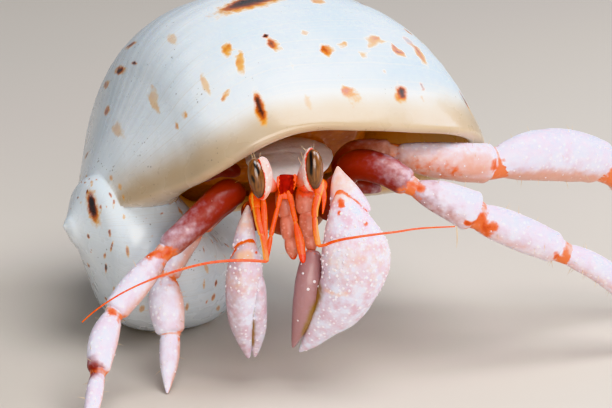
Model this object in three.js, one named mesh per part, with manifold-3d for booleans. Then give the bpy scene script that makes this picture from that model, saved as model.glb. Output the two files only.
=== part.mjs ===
// A land hermit crab, life size and standing still, in a round white sea-snail shell.
// Millimetres, +Z up, floor at z = 0. The crab faces -Y, so +X is its left side.
// The origin is the middle of the small flat that the shell rests on.
import * as THREE from 'three';
import { mergeVertices } from 'three/addons/utils/BufferGeometryUtils.js';
import Module from 'manifold-3d';

const wasm = await Module();
wasm.setup();

// ---------------------------------------------------------------- driving dimensions

// Floor point under the middle of the two eyes, from the origin. Every place below is from it.
const underEyes = [7.6, -14.5, 0];

// The shell: a tube of egg-shaped section wound on an axis that runs from the tip (spire)
// towards the crab's left. Turn 0 is the mouth, and negative turns run back to the spire.
const shellAxis = { tip: [-14.25, 9.35, 8.0], yaw: -23.7, pitch: -1.7, roll: 32.0 };
const shellTube = {
  mouth: 8.36,        // half height of the mouth across the axis
  offset: 0.88,       // middle of the tube from the axis, in mouths
  along: 1.25,        // half length of the tube along the axis, in mouths
  rise: 1.835,        // middle of the tube along the axis, in mouths
  fullness: 0.82,     // 1 is an ellipse, less is squarer
  lateGrowth: 1.56,   // widening in one turn near the mouth
  earlyGrowth: 5.08,  // widening in one turn near the spire
  change: -115,       // degrees from the mouth where one rate passes into the other
  blend: 30,          // degrees over which it does
  spireSlope: 0.5,    // rise of the low cone on the spire side, from the axis outwards
  spireReach: 1.35,   // how far from the axis that cone runs, in mouths
  sutureStep: 0.09,   // how much deeper a whorl lies where it meets the one before, in mouths
};
const shellWall = 0.1;       // wall thickness, in mouths
const shellStart = -880;     // degrees: the first whorl's start
const spireEnd = -290;       // degrees: the solid early whorls run up to here
const cavityEnd = -235;      // degrees: how far back the hollow runs
const lastWhorlStart = -330; // degrees: the last whorl is laid over the earlier ones from here
const columella = 0.11;      // half thickness of the pillar on the axis, in mouths

// How far the lip runs on past turn 0, in degrees, at angles round the mouth.
const lip = {
  angle: [0, 15, 40, 90, 200, 270, 287, 300, 310, 320, 330, 340, 350, 360],
  turn: [-3.2, -2.0, -1.8, -1.8, -1.8, 0.5, 1.0, 0.0, -1.4, -3.0, -4.3, -5.0, -4.6, -3.2],
  reach: 50, // degrees back from the mouth over which the shift fades out
};

// Eyes: upright oval corneas on flat stalks.
const cornea = { halfWidth: 0.54, halfDepth: 0.62, halfHeight: 1.25 };
const eyes = {
  right: { centre: [-1.68, -0.3, 14.05], lean: 10, stalkFoot: [-0.55, 2.5, 12.75], inward: 0.82, half: 0.6 },
  left: { centre: [1.76, -0.3, 14.62], lean: 3, stalkFoot: [0.72, 2.5, 12.95], inward: 0.88, half: 0.5 },
};
const seatGap = 0.1;

const feelerHalf = 0.25; // half thickness of the thinnest feelers

// ---------------------------------------------------------------- finishes

const finishes = {
  shell: { color: '#dfe5e6', roughness: 0.25, metalness: 0 },
  limb: { color: '#d9c6cf', roughness: 0.45, metalness: 0 },
  claw: { color: '#dccbd6', roughness: 0.4, metalness: 0 },
  feeler: { color: '#f0661a', roughness: 0.4, metalness: 0 },
  mouthparts: { color: '#c85f4b', roughness: 0.45, metalness: 0 },
  body: { color: '#a08c88', roughness: 0.5, metalness: 0 },
  cornea: { color: '#5d4330', roughness: 0.12, metalness: 0 },
};

const model = new THREE.Group();
const crab = new THREE.Group();
crab.position.set(...underEyes);
model.add(crab);

function addPart(name, geometry, finish) {
  const mesh = new THREE.Mesh(geometry, new THREE.MeshStandardMaterial(finishes[finish]));
  mesh.name = name;
  crab.add(mesh);
}

// ---------------------------------------------------------------- shape tools

const vec = (p) => new THREE.Vector3(...p);
const rad = THREE.MathUtils.degToRad;

// A closed skin over a row of rings of equal count, with a point at each end.
function skin(rings, startTip, endTip) {
  const sides = rings[0].length;
  const points = [startTip, ...rings.flat(), endTip];
  const last = points.length - 1;
  const faces = [];
  for (let j = 0; j < sides; j++) {
    const k = (j + 1) % sides;
    faces.push(0, 1 + k, 1 + j);
    for (let i = 0; i < rings.length - 1; i++) {
      const a = 1 + i * sides;
      const b = a + sides;
      faces.push(a + j, a + k, b + k, a + j, b + k, b + j);
    }
    const a = 1 + (rings.length - 1) * sides;
    faces.push(a + j, a + k, last);
  }
  const geometry = new THREE.BufferGeometry();
  geometry.setAttribute('position', new THREE.Float32BufferAttribute(points.flatMap((p) => p.toArray()), 3));
  geometry.setIndex(faces);
  return facingOut(geometry);
}

// Turns the faces round where they point inwards.
function facingOut(geometry) {
  const p = geometry.attributes.position;
  const index = geometry.index.array;
  const [a, b, c] = [new THREE.Vector3(), new THREE.Vector3(), new THREE.Vector3()];
  let volume = 0;
  for (let i = 0; i < index.length; i += 3) {
    a.fromBufferAttribute(p, index[i]);
    b.fromBufferAttribute(p, index[i + 1]);
    c.fromBufferAttribute(p, index[i + 2]);
    volume += a.dot(b.cross(c));
  }
  if (volume < 0) {
    for (let i = 0; i < index.length; i += 3) [index[i], index[i + 1]] = [index[i + 1], index[i]];
  }
  geometry.computeVertexNormals();
  return geometry;
}

function toSolid(geometry) {
  const bare = geometry.clone();
  bare.deleteAttribute('normal');
  if (bare.getAttribute('uv')) bare.deleteAttribute('uv');
  const merged = mergeVertices(bare, 1e-4);
  return new wasm.Manifold(new wasm.Mesh({
    numProp: 3,
    vertProperties: new Float32Array(merged.attributes.position.array),
    triVerts: new Uint32Array(merged.index.array),
  }));
}

function toGeometry(solid) {
  const mesh = solid.getMesh();
  const geometry = new THREE.BufferGeometry();
  geometry.setAttribute('position', new THREE.Float32BufferAttribute(mesh.vertProperties, 3));
  geometry.setIndex(Array.from(mesh.triVerts));
  geometry.computeVertexNormals();
  return geometry;
}

// Cuts away what lies under the floor, which leaves a small flat to stand on.
const underFloor = toSolid(new THREE.BoxGeometry(200, 200, 20).translate(0, 0, -10));
const standOnFloor = (geometry) => toGeometry(toSolid(geometry).subtract(underFloor));

// A smooth value at t, 0 to 1, through evenly spaced numbers.
function valueAlong(values, t) {
  return new THREE.SplineCurve(values.map((v, i) => new THREE.Vector2(i, v))).getPoint(t).y;
}

// A tapering body with rounded ends along a smooth line. Each station is
// [x, y, z, half width, half thickness], where up tells which way the thickness points.
// A higher ends value gives blunter ends.
function limb(stations, { up = [0, 0, 1], ends = 3, sides = 8, steps = 7 } = {}) {
  const line = new THREE.CatmullRomCurve3(stations.map((s) => vec(s)));
  const wide = stations.map((s) => s[3]);
  const thick = stations.map((s) => s[4]);
  const rings = [];
  for (let i = 1; i < steps; i++) {
    const t = (1 - Math.cos(Math.PI * i / steps)) / 2;
    const round = (1 - Math.abs(2 * t - 1) ** ends) ** (1 / ends);
    const ahead = line.getTangent(t);
    const side = ahead.clone().cross(vec(up)).normalize();
    const top = side.clone().cross(ahead);
    const ring = [];
    for (let j = 0; j < sides; j++) {
      const angle = 2 * Math.PI * j / sides;
      ring.push(line.getPoint(t)
        .addScaledVector(side, valueAlong(wide, t) * round * Math.cos(angle))
        .addScaledVector(top, valueAlong(thick, t) * round * Math.sin(angle)));
    }
    rings.push(ring);
  }
  return skin(rings, line.getPoint(0), line.getPoint(1));
}

// A round feeler of even thickness that thins a little to its end.
function feeler(points, half, endHalf = half, options = {}) {
  const stations = points.map((p, i) => {
    const size = half + (endHalf - half) * i / (points.length - 1);
    return [...p, size, size];
  });
  return limb(stations, { up: [0, 1, 0], sides: 6, ends: 5, ...options });
}

// ---------------------------------------------------------------- shell

// The axis of the shell, with two directions across it, the first towards the mouth.
const axis = (() => {
  const [yaw, pitch, roll] = [rad(shellAxis.yaw), rad(shellAxis.pitch), rad(shellAxis.roll)];
  const ahead = vec([Math.cos(yaw) * Math.cos(pitch), -Math.sin(yaw) * Math.cos(pitch), Math.sin(pitch)]);
  const front = vec([0, -1, 0]).projectOnPlane(ahead).normalize();
  const upward = front.clone().cross(ahead);
  const mouthward = front.multiplyScalar(Math.cos(roll)).addScaledVector(upward, Math.sin(roll));
  return { ahead, mouthward, across: ahead.clone().cross(mouthward) };
})();

// Half height of the tube at a turn in degrees.
function whorlSize(turn) {
  const late = Math.log(shellTube.lateGrowth) / 360;
  const early = Math.log(shellTube.earlyGrowth) / 360;
  const past = (degrees) => shellTube.blend * Math.log1p(Math.exp(degrees / shellTube.blend));
  const earlyTurn = past(shellTube.change - turn) - past(shellTube.change);
  return shellTube.mouth * Math.exp(late * turn - (early - late) * earlyTurn);
}

// Point on the tube: turn along it and angle round it, in degrees, and fill from 0, its
// middle, to 1, its outside. least is how near the axis it may come, in mouths. On the
// outside the side towards the spire is filled down to a low cone.
function whorlPoint(turn, angle, fill = 1, least = 0.03) {
  const size = whorlSize(turn);
  const square = (v) => Math.sign(v) * Math.abs(v) ** shellTube.fullness;
  const radius = Math.max(shellTube.offset + fill * square(Math.cos(rad(angle))), least);
  let height = shellTube.rise + fill * shellTube.along * square(Math.sin(rad(angle)));
  if (fill === 1 && angle > 180 && radius < shellTube.spireReach) {
    const inset = shellTube.sutureStep * (1 - radius / shellTube.spireReach);
    height = Math.min(height, shellTube.spireSlope * radius + inset);
  }
  return vec(shellAxis.tip)
    .addScaledVector(axis.ahead, size * height)
    .addScaledVector(axis.mouthward, size * radius * Math.cos(rad(turn)))
    .addScaledVector(axis.across, size * radius * Math.sin(rad(turn)));
}

// Degrees by which the uneven lip moves a place near the mouth along the tube.
function lipShift(turn, angle) {
  const after = Math.max(1, lip.angle.findIndex((a) => a >= angle));
  const [low, high] = [lip.angle[after - 1], lip.angle[after]];
  const shift = THREE.MathUtils.lerp(lip.turn[after - 1], lip.turn[after], (angle - low) / (high - low));
  return shift * THREE.MathUtils.smoothstep(turn, -lip.reach, 0);
}

// A closed length of the tube. fill may change along it.
function whorl({ from, to, steps, sides, fill = () => 1, least = 0.03 }) {
  const rings = [];
  for (let i = 0; i <= steps; i++) {
    const turn = from + (to - from) * i / steps;
    const ring = [];
    for (let j = 0; j < sides; j++) {
      const angle = 360 * j / sides;
      ring.push(whorlPoint(turn + lipShift(turn, angle), angle, fill(turn), least));
    }
    rings.push(ring);
  }
  const middle = (ring) => ring.reduce((sum, p) => sum.add(p), new THREE.Vector3()).divideScalar(ring.length);
  return skin(rings, middle(rings[0]), middle(rings.at(-1)));
}

function shell() {
  const outside = whorl({ from: lastWhorlStart, to: 0, steps: 24, sides: 22 });
  const inside = whorl({
    from: cavityEnd, to: 4, steps: 16, sides: 18, least: columella,
    fill: (turn) => (1 - shellWall) * Math.min(1, 0.25 + (turn - cavityEnd) / 45),
  });
  let hollow = toSolid(outside).subtract(toSolid(inside));
  for (let to = spireEnd; to > shellStart; to -= 330) {
    const from = Math.max(to - 340, shellStart);
    hollow = hollow.add(toSolid(whorl({ from, to, steps: 18, sides: 16 })));
  }
  return toGeometry(hollow.subtract(underFloor));
}

// ---------------------------------------------------------------- trunk

// Soft hind body: it starts small behind the trunk, fills the last whorl and thins to its end.
function abdomen() {
  const start = -18;
  const end = -228;
  const fill = (turn) => {
    const t = (turn - start) / (end - start);
    return 0.76 * Math.min(1, 0.42 + 3.2 * t) * Math.sqrt(1 - 0.85 * t ** 3);
  };
  return whorl({ from: end, to: start, steps: 12, sides: 14, least: 0.24, fill });
}

function trunk() {
  addPart('shell', shell(), 'shell');
  addPart('abdomen', abdomen(), 'body');
  addPart('shield', limb([
    [0.1, 2.5, 12.75, 0.45, 0.16],
    [0.15, 4.2, 13.1, 2.1, 0.36],
    [0.2, 6.6, 13.5, 2.75, 0.42],
    [0.2, 9.2, 13.8, 2.3, 0.36],
  ], { sides: 12, steps: 8, ends: 4 }), 'body');
  addPart('thorax', limb([
    [0.4, 3.35, 10.75, 1.5, 1.3],
    [0.3, 5.2, 10.5, 2.2, 1.9],
    [0.2, 7.4, 10.7, 2.5, 2.05],
    [0.3, 9.6, 11.3, 2.2, 1.7],
  ], { sides: 10, steps: 7, ends: 4 }), 'body');
}

// ---------------------------------------------------------------- head

function corneaGeometry({ centre, lean }, spare = 0) {
  return new THREE.SphereGeometry(1, 12, 9)
    .rotateX(Math.PI / 2)
    .scale(cornea.halfWidth + spare, cornea.halfDepth + spare, cornea.halfHeight + spare)
    .rotateY(rad(-lean))
    .translate(...centre);
}

// A flat stalk that widens from its foot to the cornea, which sits in it with a small gap.
function eyeStalk(eye) {
  const [x, y, z] = eye.centre;
  const stalk = limb([
    [...eye.stalkFoot, 0.3, 0.4],
    [x * 0.68, y + 1.6, z - 0.72, eye.half * 0.6, 0.7],
    [x * (eye.inward - 0.03), y + 0.85, z - 0.24, eye.half * 0.85, 1.12],
    [x * eye.inward, y + 0.1, z - 0.05, eye.half + 0.05, 1.34],
    [x * eye.inward, y - 0.34, z, eye.half, 1.24],
  ], { ends: 3.6, sides: 8, steps: 8 });
  return toGeometry(toSolid(stalk).subtract(toSolid(corneaGeometry(eye, seatGap))));
}

function head() {
  for (const [side, eye] of Object.entries(eyes)) {
    addPart(`eyestalk_${side}`, eyeStalk(eye), 'limb');
    addPart(`cornea_${side}`, corneaGeometry(eye), 'cornea');
  }
  addPart('ocular_plate', limb([
    [0.09, 2.4, 13.5, 0.52, 0.25],
    [0.08, 2.15, 13.1, 0.46, 0.25],
    [0.05, 1.8, 12.5, 0.3, 0.25],
  ], { up: [0, -1, 0.3], sides: 8, steps: 6, ends: 5 }), 'mouthparts');

  addPart('antennule_peduncle_right',
    feeler([[-0.3, 1.75, 12.3], [-0.6, 1.2, 11.2], [-0.87, 0.85, 10.0]], 0.27, feelerHalf), 'feeler');
  addPart('antennule_flagellum_right',
    feeler([[-0.9, 0.82, 9.85], [-1.03, 0.65, 9.2], [-1.1, 0.5, 8.45]], feelerHalf), 'feeler');
  addPart('antennule_peduncle_left',
    feeler([[0.28, 1.7, 12.35], [0.5, 1.1, 11.6], [0.62, 0.85, 11.1]], 0.27, feelerHalf), 'feeler');
  addPart('antennule_flagellum_left', limb([
    [0.65, 0.8, 10.95, 0.25, 0.25],
    [0.9, 0.5, 9.9, 0.33, 0.25],
    [1.08, 0.3, 8.7, 0.27, 0.25],
  ], { up: [0, 1, 0], sides: 6, ends: 5 }), 'feeler');

  addPart('antenna_peduncle_right', feeler([
    [-1.85, 2.3, 12.05], [-1.9, 1.3, 12.15], [-1.58, 0.2, 11.1], [-1.21, -0.5, 9.86], [-1.09, -0.8, 8.85],
  ], 0.32, 0.26, { steps: 9 }), 'feeler');
  addPart('antenna_flagellum_right', feeler([
    [-1.45, -0.95, 9.03], [-2.41, -1.1, 9.15], [-4.21, -1.4, 9.14], [-5.7, -1.6, 8.89],
    [-8.09, -2.0, 8.2], [-9.89, -2.3, 7.4], [-11.41, -2.3, 6.35], [-12.21, -2.2, 5.6],
  ], feelerHalf, feelerHalf, { steps: 14, ends: 9 }), 'feeler');
  addPart('antenna_peduncle_left', feeler([
    [2.25, 2.2, 12.95], [2.15, 1.3, 13.0], [1.8, 0.3, 12.0], [1.8, -0.4, 11.1], [2.02, -0.9, 9.95],
  ], 0.32, 0.26, { steps: 9 }), 'feeler');
  addPart('antenna_flagellum_left', feeler([
    [2.4, -1.1, 10.05], [2.85, -1.4, 10.4], [3.59, -1.8, 10.72], [5.38, -1.8, 11.0],
    [6.6, -1.0, 10.9], [8.15, 0.2, 10.75], [10.3, 1.0, 10.62],
  ], feelerHalf, feelerHalf, { steps: 13, ends: 9 }), 'feeler');

  addPart('maxilliped_right', limb([
    [-0.12, 2.75, 12.1, 0.56, 0.34],
    [0.08, 2.35, 10.8, 0.56, 0.34],
    [0.28, 1.95, 9.5, 0.46, 0.3],
    [0.5, 1.68, 8.4, 0.26, 0.25],
  ], { up: [0, 1, 0] }), 'mouthparts');
  addPart('maxilliped_left', limb([
    [1.24, 2.75, 12.25, 0.62, 0.34],
    [1.3, 2.35, 11.2, 0.6, 0.34],
    [1.42, 2.05, 10.2, 0.5, 0.32],
    [1.54, 1.85, 9.3, 0.26, 0.25],
  ], { up: [0, 1, 0] }), 'mouthparts');
}

// ---------------------------------------------------------------- claws

// The claws hang before the mouth, so their broad outer faces look forward.
const facingForward = [0, 1, 0];

// A limb with a seat cut in it for the neighbour that lies against it.
function seated(stations, options, neighbour, neighbourOptions) {
  const grown = neighbour.map(([x, y, z, wide, thick]) => [x, y, z, wide + seatGap, thick + seatGap]);
  return toGeometry(toSolid(limb(stations, options)).subtract(toSolid(limb(grown, neighbourOptions))));
}

function claws() {
  const blunt = { up: facingForward, sides: 12, steps: 10, ends: 3 };
  const slim = { up: facingForward, sides: 8, steps: 8, ends: 3 };
  const big = { ...blunt, steps: 13 };
  const finger = { ...slim, steps: 9 };
  const wrist = { ...slim, ends: 3.5 };

  const leftPalm = [
    [3.3, 0.85, 12.98, 0.6, 0.6],
    [3.5, 0.55, 12.2, 1.1, 0.95],
    [3.8, 0.3, 11.1, 1.6, 1.2],
    [4.08, 0.15, 10.0, 1.95, 1.38],
    [4.27, 0.12, 8.8, 2.12, 1.45],
    [3.88, 0.3, 7.1, 1.84, 1.35],
    [3.18, 0.7, 5.6, 1.62, 1.1],
    [2.36, 1.15, 4.4, 1.18, 0.85],
    [1.55, 1.6, 3.1, 0.7, 0.55],
    [0.85, 1.95, 2.2, 0.24, 0.22],
  ];
  const leftDactyl = [
    [1.66, 1.35, 9.0, 0.6, 0.5],
    [1.58, 1.1, 8.2, 0.74, 0.64],
    [1.42, 0.85, 7.1, 0.82, 0.76],
    [1.22, 0.85, 5.8, 0.78, 0.72],
    [0.9, 1.1, 4.3, 0.58, 0.56],
    [0.45, 1.6, 2.6, 0.25, 0.25],
  ];
  addPart('left_claw_merus', limb([
    [2.6, 4.6, 10.2, 0.75, 0.8],
    [2.95, 3.6, 12.0, 0.85, 0.85],
    [3.3, 2.75, 13.2, 0.5, 0.55],
  ], slim), 'limb');
  addPart('left_claw_palm', seated(leftPalm, big, leftDactyl, finger), 'claw');
  addPart('left_claw_dactyl', limb(leftDactyl, finger), 'claw');
  addPart('left_claw_carpus', seated([
    [3.17, 1.95, 14.15, 0.25, 0.3],
    [3.3, 1.65, 13.5, 0.55, 0.62],
    [3.6, 1.35, 12.6, 0.95, 0.85],
    [3.92, 1.15, 11.7, 1.2, 0.98],
    [4.12, 1.0, 11.1, 1.3, 1.0],
  ], wrist, leftPalm, big), 'claw');

  const rightPalm = [
    [-2.16, 1.4, 9.66, 0.66, 0.5],
    [-2.33, 1.2, 9.0, 0.9, 0.76],
    [-2.48, 1.1, 7.8, 1.12, 0.9],
    [-2.6, 1.02, 6.5, 1.06, 0.86],
    [-2.66, 1.12, 5.2, 0.96, 0.74],
    [-2.58, 1.45, 3.8, 0.8, 0.6],
    [-2.3, 2.0, 1.75, 0.3, 0.25],
  ];
  const rightDactyl = [
    [-1.7, 1.0, 7.9, 0.25, 0.35],
    [-1.6, 1.0, 6.7, 0.42, 0.54],
    [-1.62, 1.1, 5.1, 0.5, 0.54],
    [-1.7, 1.45, 3.6, 0.48, 0.46],
    [-1.9, 1.85, 1.9, 0.25, 0.25],
  ];
  addPart('right_claw_merus', limb([
    [-1.75, 4.0, 9.6, 0.6, 0.6],
    [-2.1, 3.7, 10.7, 0.65, 0.65],
    [-2.25, 3.2, 11.3, 0.45, 0.45],
  ], slim), 'limb');
  addPart('right_claw_palm', seated(rightPalm, blunt, rightDactyl, finger), 'claw');
  addPart('right_claw_dactyl', limb(rightDactyl, finger), 'claw');
  addPart('right_claw_carpus', seated([
    [-2.3, 2.75, 11.45, 0.25, 0.26],
    [-2.36, 2.3, 10.75, 0.4, 0.46],
    [-2.45, 1.95, 9.95, 0.6, 0.6],
    [-2.5, 1.7, 9.2, 0.74, 0.72],
  ], wrist, rightPalm, blunt), 'claw');
}

// ---------------------------------------------------------------- walking legs

// Each leg runs from the trunk to the floor: merus, carpus, propodus and dactyl.
const walkingLegs = {
  leg_2_right: {
    up: [-0.5, -0.2, 0.8],
    merus: [[-2.85, 5.3, 11.3, 0.8, 0.8], [-3.6, 4.1, 11.7, 0.95, 0.95], [-5.4, 2.8, 10.4, 0.85, 0.85],
      [-7.3, 1.75, 8.95, 0.7, 0.75]],
    carpus: [[-7.6, 1.5, 8.6, 0.65, 0.65], [-9.0, 0.3, 7.2, 0.82, 0.85], [-10.3, -0.9, 5.85, 0.72, 0.75]],
    propodus: [[-10.5, -1.15, 5.55, 0.65, 0.7], [-10.95, -2.7, 4.4, 0.85, 0.88],
      [-11.1, -4.25, 3.3, 0.65, 0.65]],
    dactyl: [[-11.15, -4.6, 3.05, 0.55, 0.55], [-11.35, -6.6, 1.95, 0.5, 0.5], [-11.7, -9.0, 0.0, 0.2, 0.25]],
  },
  leg_3_right: {
    up: [-0.6, 0.1, 0.8],
    merus: [[-3.1, 7.9, 10.4, 0.8, 0.8], [-4.2, 7.3, 10.2, 0.95, 0.95], [-5.5, 6.3, 9.1, 0.85, 0.85]],
    carpus: [[-5.75, 6.1, 8.75, 0.75, 0.75], [-6.8, 5.3, 7.7, 0.95, 0.95], [-7.55, 4.5, 6.5, 0.9, 0.9]],
    propodus: [[-7.6, 4.25, 6.1, 0.85, 0.85], [-7.4, 3.5, 4.6, 1.15, 1.1], [-7.15, 2.7, 3.15, 0.85, 0.85]],
    dactyl: [[-7.15, 2.5, 2.85, 0.75, 0.75], [-7.2, 1.5, 1.6, 0.6, 0.6], [-7.3, 0.2, -0.05, 0.22, 0.25]],
  },
  leg_2_left: {
    up: [0.3, 0, 1],
    merus: [[3.2, 6.0, 11.6, 0.85, 0.85], [4.25, 5.6, 13.1, 0.95, 0.95], [6.0, 4.9, 13.05, 0.95, 0.95],
      [7.6, 4.25, 12.35, 0.8, 0.8]],
    carpus: [[7.95, 4.2, 12.05, 0.6, 0.6], [9.9, 4.5, 11.25, 0.95, 1.05], [11.6, 4.95, 10.3, 1.1, 1.2]],
    propodus: [[12.0, 5.05, 9.95, 0.95, 1.05], [14.5, 5.7, 8.75, 1.0, 1.08], [17.0, 6.4, 7.45, 0.85, 0.92]],
    dactyl: [[17.35, 6.5, 7.2, 0.8, 0.85], [20.0, 7.1, 5.7, 0.75, 0.8], [22.1, 7.7, 3.4, 0.55, 0.6],
      [23.4, 8.1, -0.1, 0.2, 0.2]],
  },
  leg_3_left: {
    up: [0.15, -0.4, 1],
    merus: [[3.2, 8.4, 11.6, 0.85, 0.85], [4.3, 8.3, 12.9, 1.0, 1.0], [6.6, 8.0, 13.2, 0.9, 0.9]],
    carpus: [[6.95, 7.9, 13.15, 0.85, 0.85], [9.9, 8.0, 12.75, 1.1, 1.2], [12.9, 8.9, 12.25, 1.1, 1.3]],
    propodus: [[13.25, 9.15, 12.25, 1.0, 1.2], [15.4, 10.3, 12.4, 1.3, 1.7], [18.2, 12.1, 11.85, 1.3, 1.8],
      [20.5, 13.5, 11.0, 1.0, 1.4]],
    dactyl: [[20.85, 13.75, 10.6, 0.95, 1.1], [22.9, 14.8, 8.2, 0.85, 0.95], [24.1, 15.4, 5.0, 0.65, 0.75],
      [24.6, 15.7, 2.2, 0.42, 0.45], [24.8, 15.8, -0.05, 0.22, 0.22]],
  },
};

function legs() {
  for (const [leg, { up, ...segments }] of Object.entries(walkingLegs)) {
    for (const [segment, stations] of Object.entries(segments)) {
      const shape = limb(stations, { up, ends: 4, steps: stations.length > 3 ? 9 : 7 });
      addPart(`${leg}_${segment}`, segment === 'dactyl' ? standOnFloor(shape) : shape, 'limb');
    }
  }
  // The small fourth legs reach back and hold the shell from inside.
  addPart('leg_4_right', limb([
    [-2.9, 10.0, 11.4, 0.55, 0.55], [-4.2, 10.2, 11.6, 0.6, 0.6], [-5.4, 9.9, 10.9, 0.35, 0.35],
  ]), 'limb');
  addPart('leg_4_left', limb([
    [3.3, 10.4, 10.9, 0.55, 0.55], [4.7, 10.3, 10.5, 0.6, 0.6], [6.1, 10.5, 10.1, 0.35, 0.35],
  ]), 'limb');
}

trunk();
head();
claws();
legs();

export default model;
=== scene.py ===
import math
from functools import partial
import bpy
import numpy as np
from mathutils import Euler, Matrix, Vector
from mathutils.kdtree import KDTree


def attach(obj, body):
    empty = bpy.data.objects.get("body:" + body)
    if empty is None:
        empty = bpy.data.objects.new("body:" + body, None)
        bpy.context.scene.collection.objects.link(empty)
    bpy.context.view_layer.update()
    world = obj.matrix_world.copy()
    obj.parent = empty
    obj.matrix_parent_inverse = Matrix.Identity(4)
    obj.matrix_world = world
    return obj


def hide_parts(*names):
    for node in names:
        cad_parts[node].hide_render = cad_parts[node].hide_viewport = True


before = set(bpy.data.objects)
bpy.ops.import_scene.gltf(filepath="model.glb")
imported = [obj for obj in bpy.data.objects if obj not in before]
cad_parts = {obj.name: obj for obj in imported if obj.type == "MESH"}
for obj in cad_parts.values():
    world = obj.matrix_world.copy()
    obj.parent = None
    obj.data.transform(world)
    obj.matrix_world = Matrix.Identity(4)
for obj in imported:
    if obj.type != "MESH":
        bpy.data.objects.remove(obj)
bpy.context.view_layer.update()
scene = bpy.context.scene
print("hermit crab: frame loaded")

# Shapes are worked out in millimetres from the floor point under the eyes, crab facing -Y.
metresPerMm = 0.001
perMm = 1 / metresPerMm
underEyes = np.array([7.6, -14.5, 0.0])  # that point, from the middle of the shell's foot


# Camera: a close view from just above the crab's eyes.
view = {"place": (8.86, -177.616, 62.225), "tilt": 73.0, "lens": 166.67, "nearestMm": 10}
camera = bpy.data.objects.new("camera", bpy.data.cameras.new("camera"))
camera.location = [v * metresPerMm for v in view["place"]]
camera.rotation_euler = Euler((math.radians(view["tilt"]), 0, 0))
camera.data.lens = view["lens"]
camera.data.clip_start = view["nearestMm"] * metresPerMm
scene.collection.objects.link(camera)
scene.camera = camera
scene.view_settings.view_transform = "Khronos PBR Neutral"  # keeps the finishes' own colours


# node and colour tools

def hexColour(text):
    channels = [int(text[i:i + 2], 16) / 255 for i in (1, 3, 5)]
    return [c / 12.92 if c <= 0.04045 else ((c + 0.055) / 1.055) ** 2.4 for c in channels] + [1.0]


# Adds one node. An input takes a value, a socket, or a node, whose first live output is used.
def addNode(tree, kind, inputs=None, stops=None, **settings):
    node = tree.nodes.new(kind)
    for setting, value in settings.items():
        setattr(node, setting, value)
    if stops:
        bar = node.color_ramp.elements
        bar.remove(bar[1])
        for i, (place, colour) in enumerate(stops):
            stop = bar[0] if i == 0 else bar.new(place)
            stop.position = place
            stop.color = hexColour(colour)
    live = [s for s in node.inputs if s.enabled]
    for key, value in (inputs or {}).items():
        socket = live[key] if isinstance(key, int) else next(s for s in live if s.name == key)
        if isinstance(value, bpy.types.Node):
            value = next(s for s in value.outputs if s.enabled)
        if isinstance(value, bpy.types.NodeSocket):
            tree.links.new(value, socket)
        else:
            socket.default_value = hexColour(value) if isinstance(value, str) and value[:1] == "#" else value
    return node


# An empty material, what adds nodes to it, and the place on the object.
def startMaterial(name):
    material = bpy.data.materials.new(name)
    material.use_nodes = True
    material.node_tree.nodes.clear()
    add = partial(addNode, material.node_tree)
    return material, add, add("ShaderNodeTexCoord").outputs["Object"]


# shape tools: a form is points, faces and named fields, one number for each point

# Values at t from 0 to 1 on a smooth curve through the given ones. power 0.5 suits places.
def curveAt(values, t, power=0.0):
    values = np.asarray(values, float)
    if values.ndim == 1:
        return curveAt(values[:, None], t, power)[:, 0]
    padded = np.vstack([2 * values[0] - values[1], values, 2 * values[-1] - values[-2]])
    place = np.clip(t, 0, 1) * (len(values) - 1)
    i = np.minimum(place.astype(int), len(values) - 2)
    w = (place - i)[:, None]
    p0, p1, p2, p3 = (padded[i + k] for k in range(4))
    gap = lambda a, b: np.maximum(np.linalg.norm(b - a, axis=1, keepdims=True), 1e-9) ** power
    d0, d1, d2 = gap(p0, p1), gap(p1, p2), gap(p2, p3)
    m1 = ((p1 - p0) / d0 - (p2 - p0) / (d0 + d1) + (p2 - p1) / d1) * d1
    m2 = ((p2 - p1) / d1 - (p3 - p1) / (d1 + d2) + (p3 - p2) / d2) * d1
    return p1 + w * m1 + w ** 2 * (3 * p2 - 3 * p1 - 2 * m1 - m2) + w ** 3 * (2 * p1 - 2 * p2 + m1 + m2)


def unit(vectors):
    return vectors / np.maximum(np.linalg.norm(vectors, axis=-1, keepdims=True), 1e-12)


def hump(x, middle, width):
    return np.exp(-((x - middle) / width) ** 2)


def ramp(x, low, high):
    s = np.clip((x - low) / (high - low), 0, 1)
    return s * s * (3 - 2 * s)


# Smooth unevenness from -1 to 1 with waves about size mm long.
def uneven(points, size, seed, waves=9):
    draw = np.random.default_rng(seed)
    heading = unit(draw.normal(size=(waves, 3))) * (2 * math.pi / size) * draw.uniform(0.6, 1.5, (waves, 1))
    return np.sin(points @ heading.T + draw.uniform(0, 7, waves)).mean(-1) * 1.6


def outward(form):
    p = form["points"]
    corners = np.array([(f[0], f[i], f[i + 1]) for f in form["faces"] for i in range(1, len(f) - 1)])
    if (p[corners[:, 0]] * np.cross(p[corners[:, 1]], p[corners[:, 2]])).sum() < 0:
        form["faces"] = [tuple(reversed(f)) for f in form["faces"]]
    return form


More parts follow.
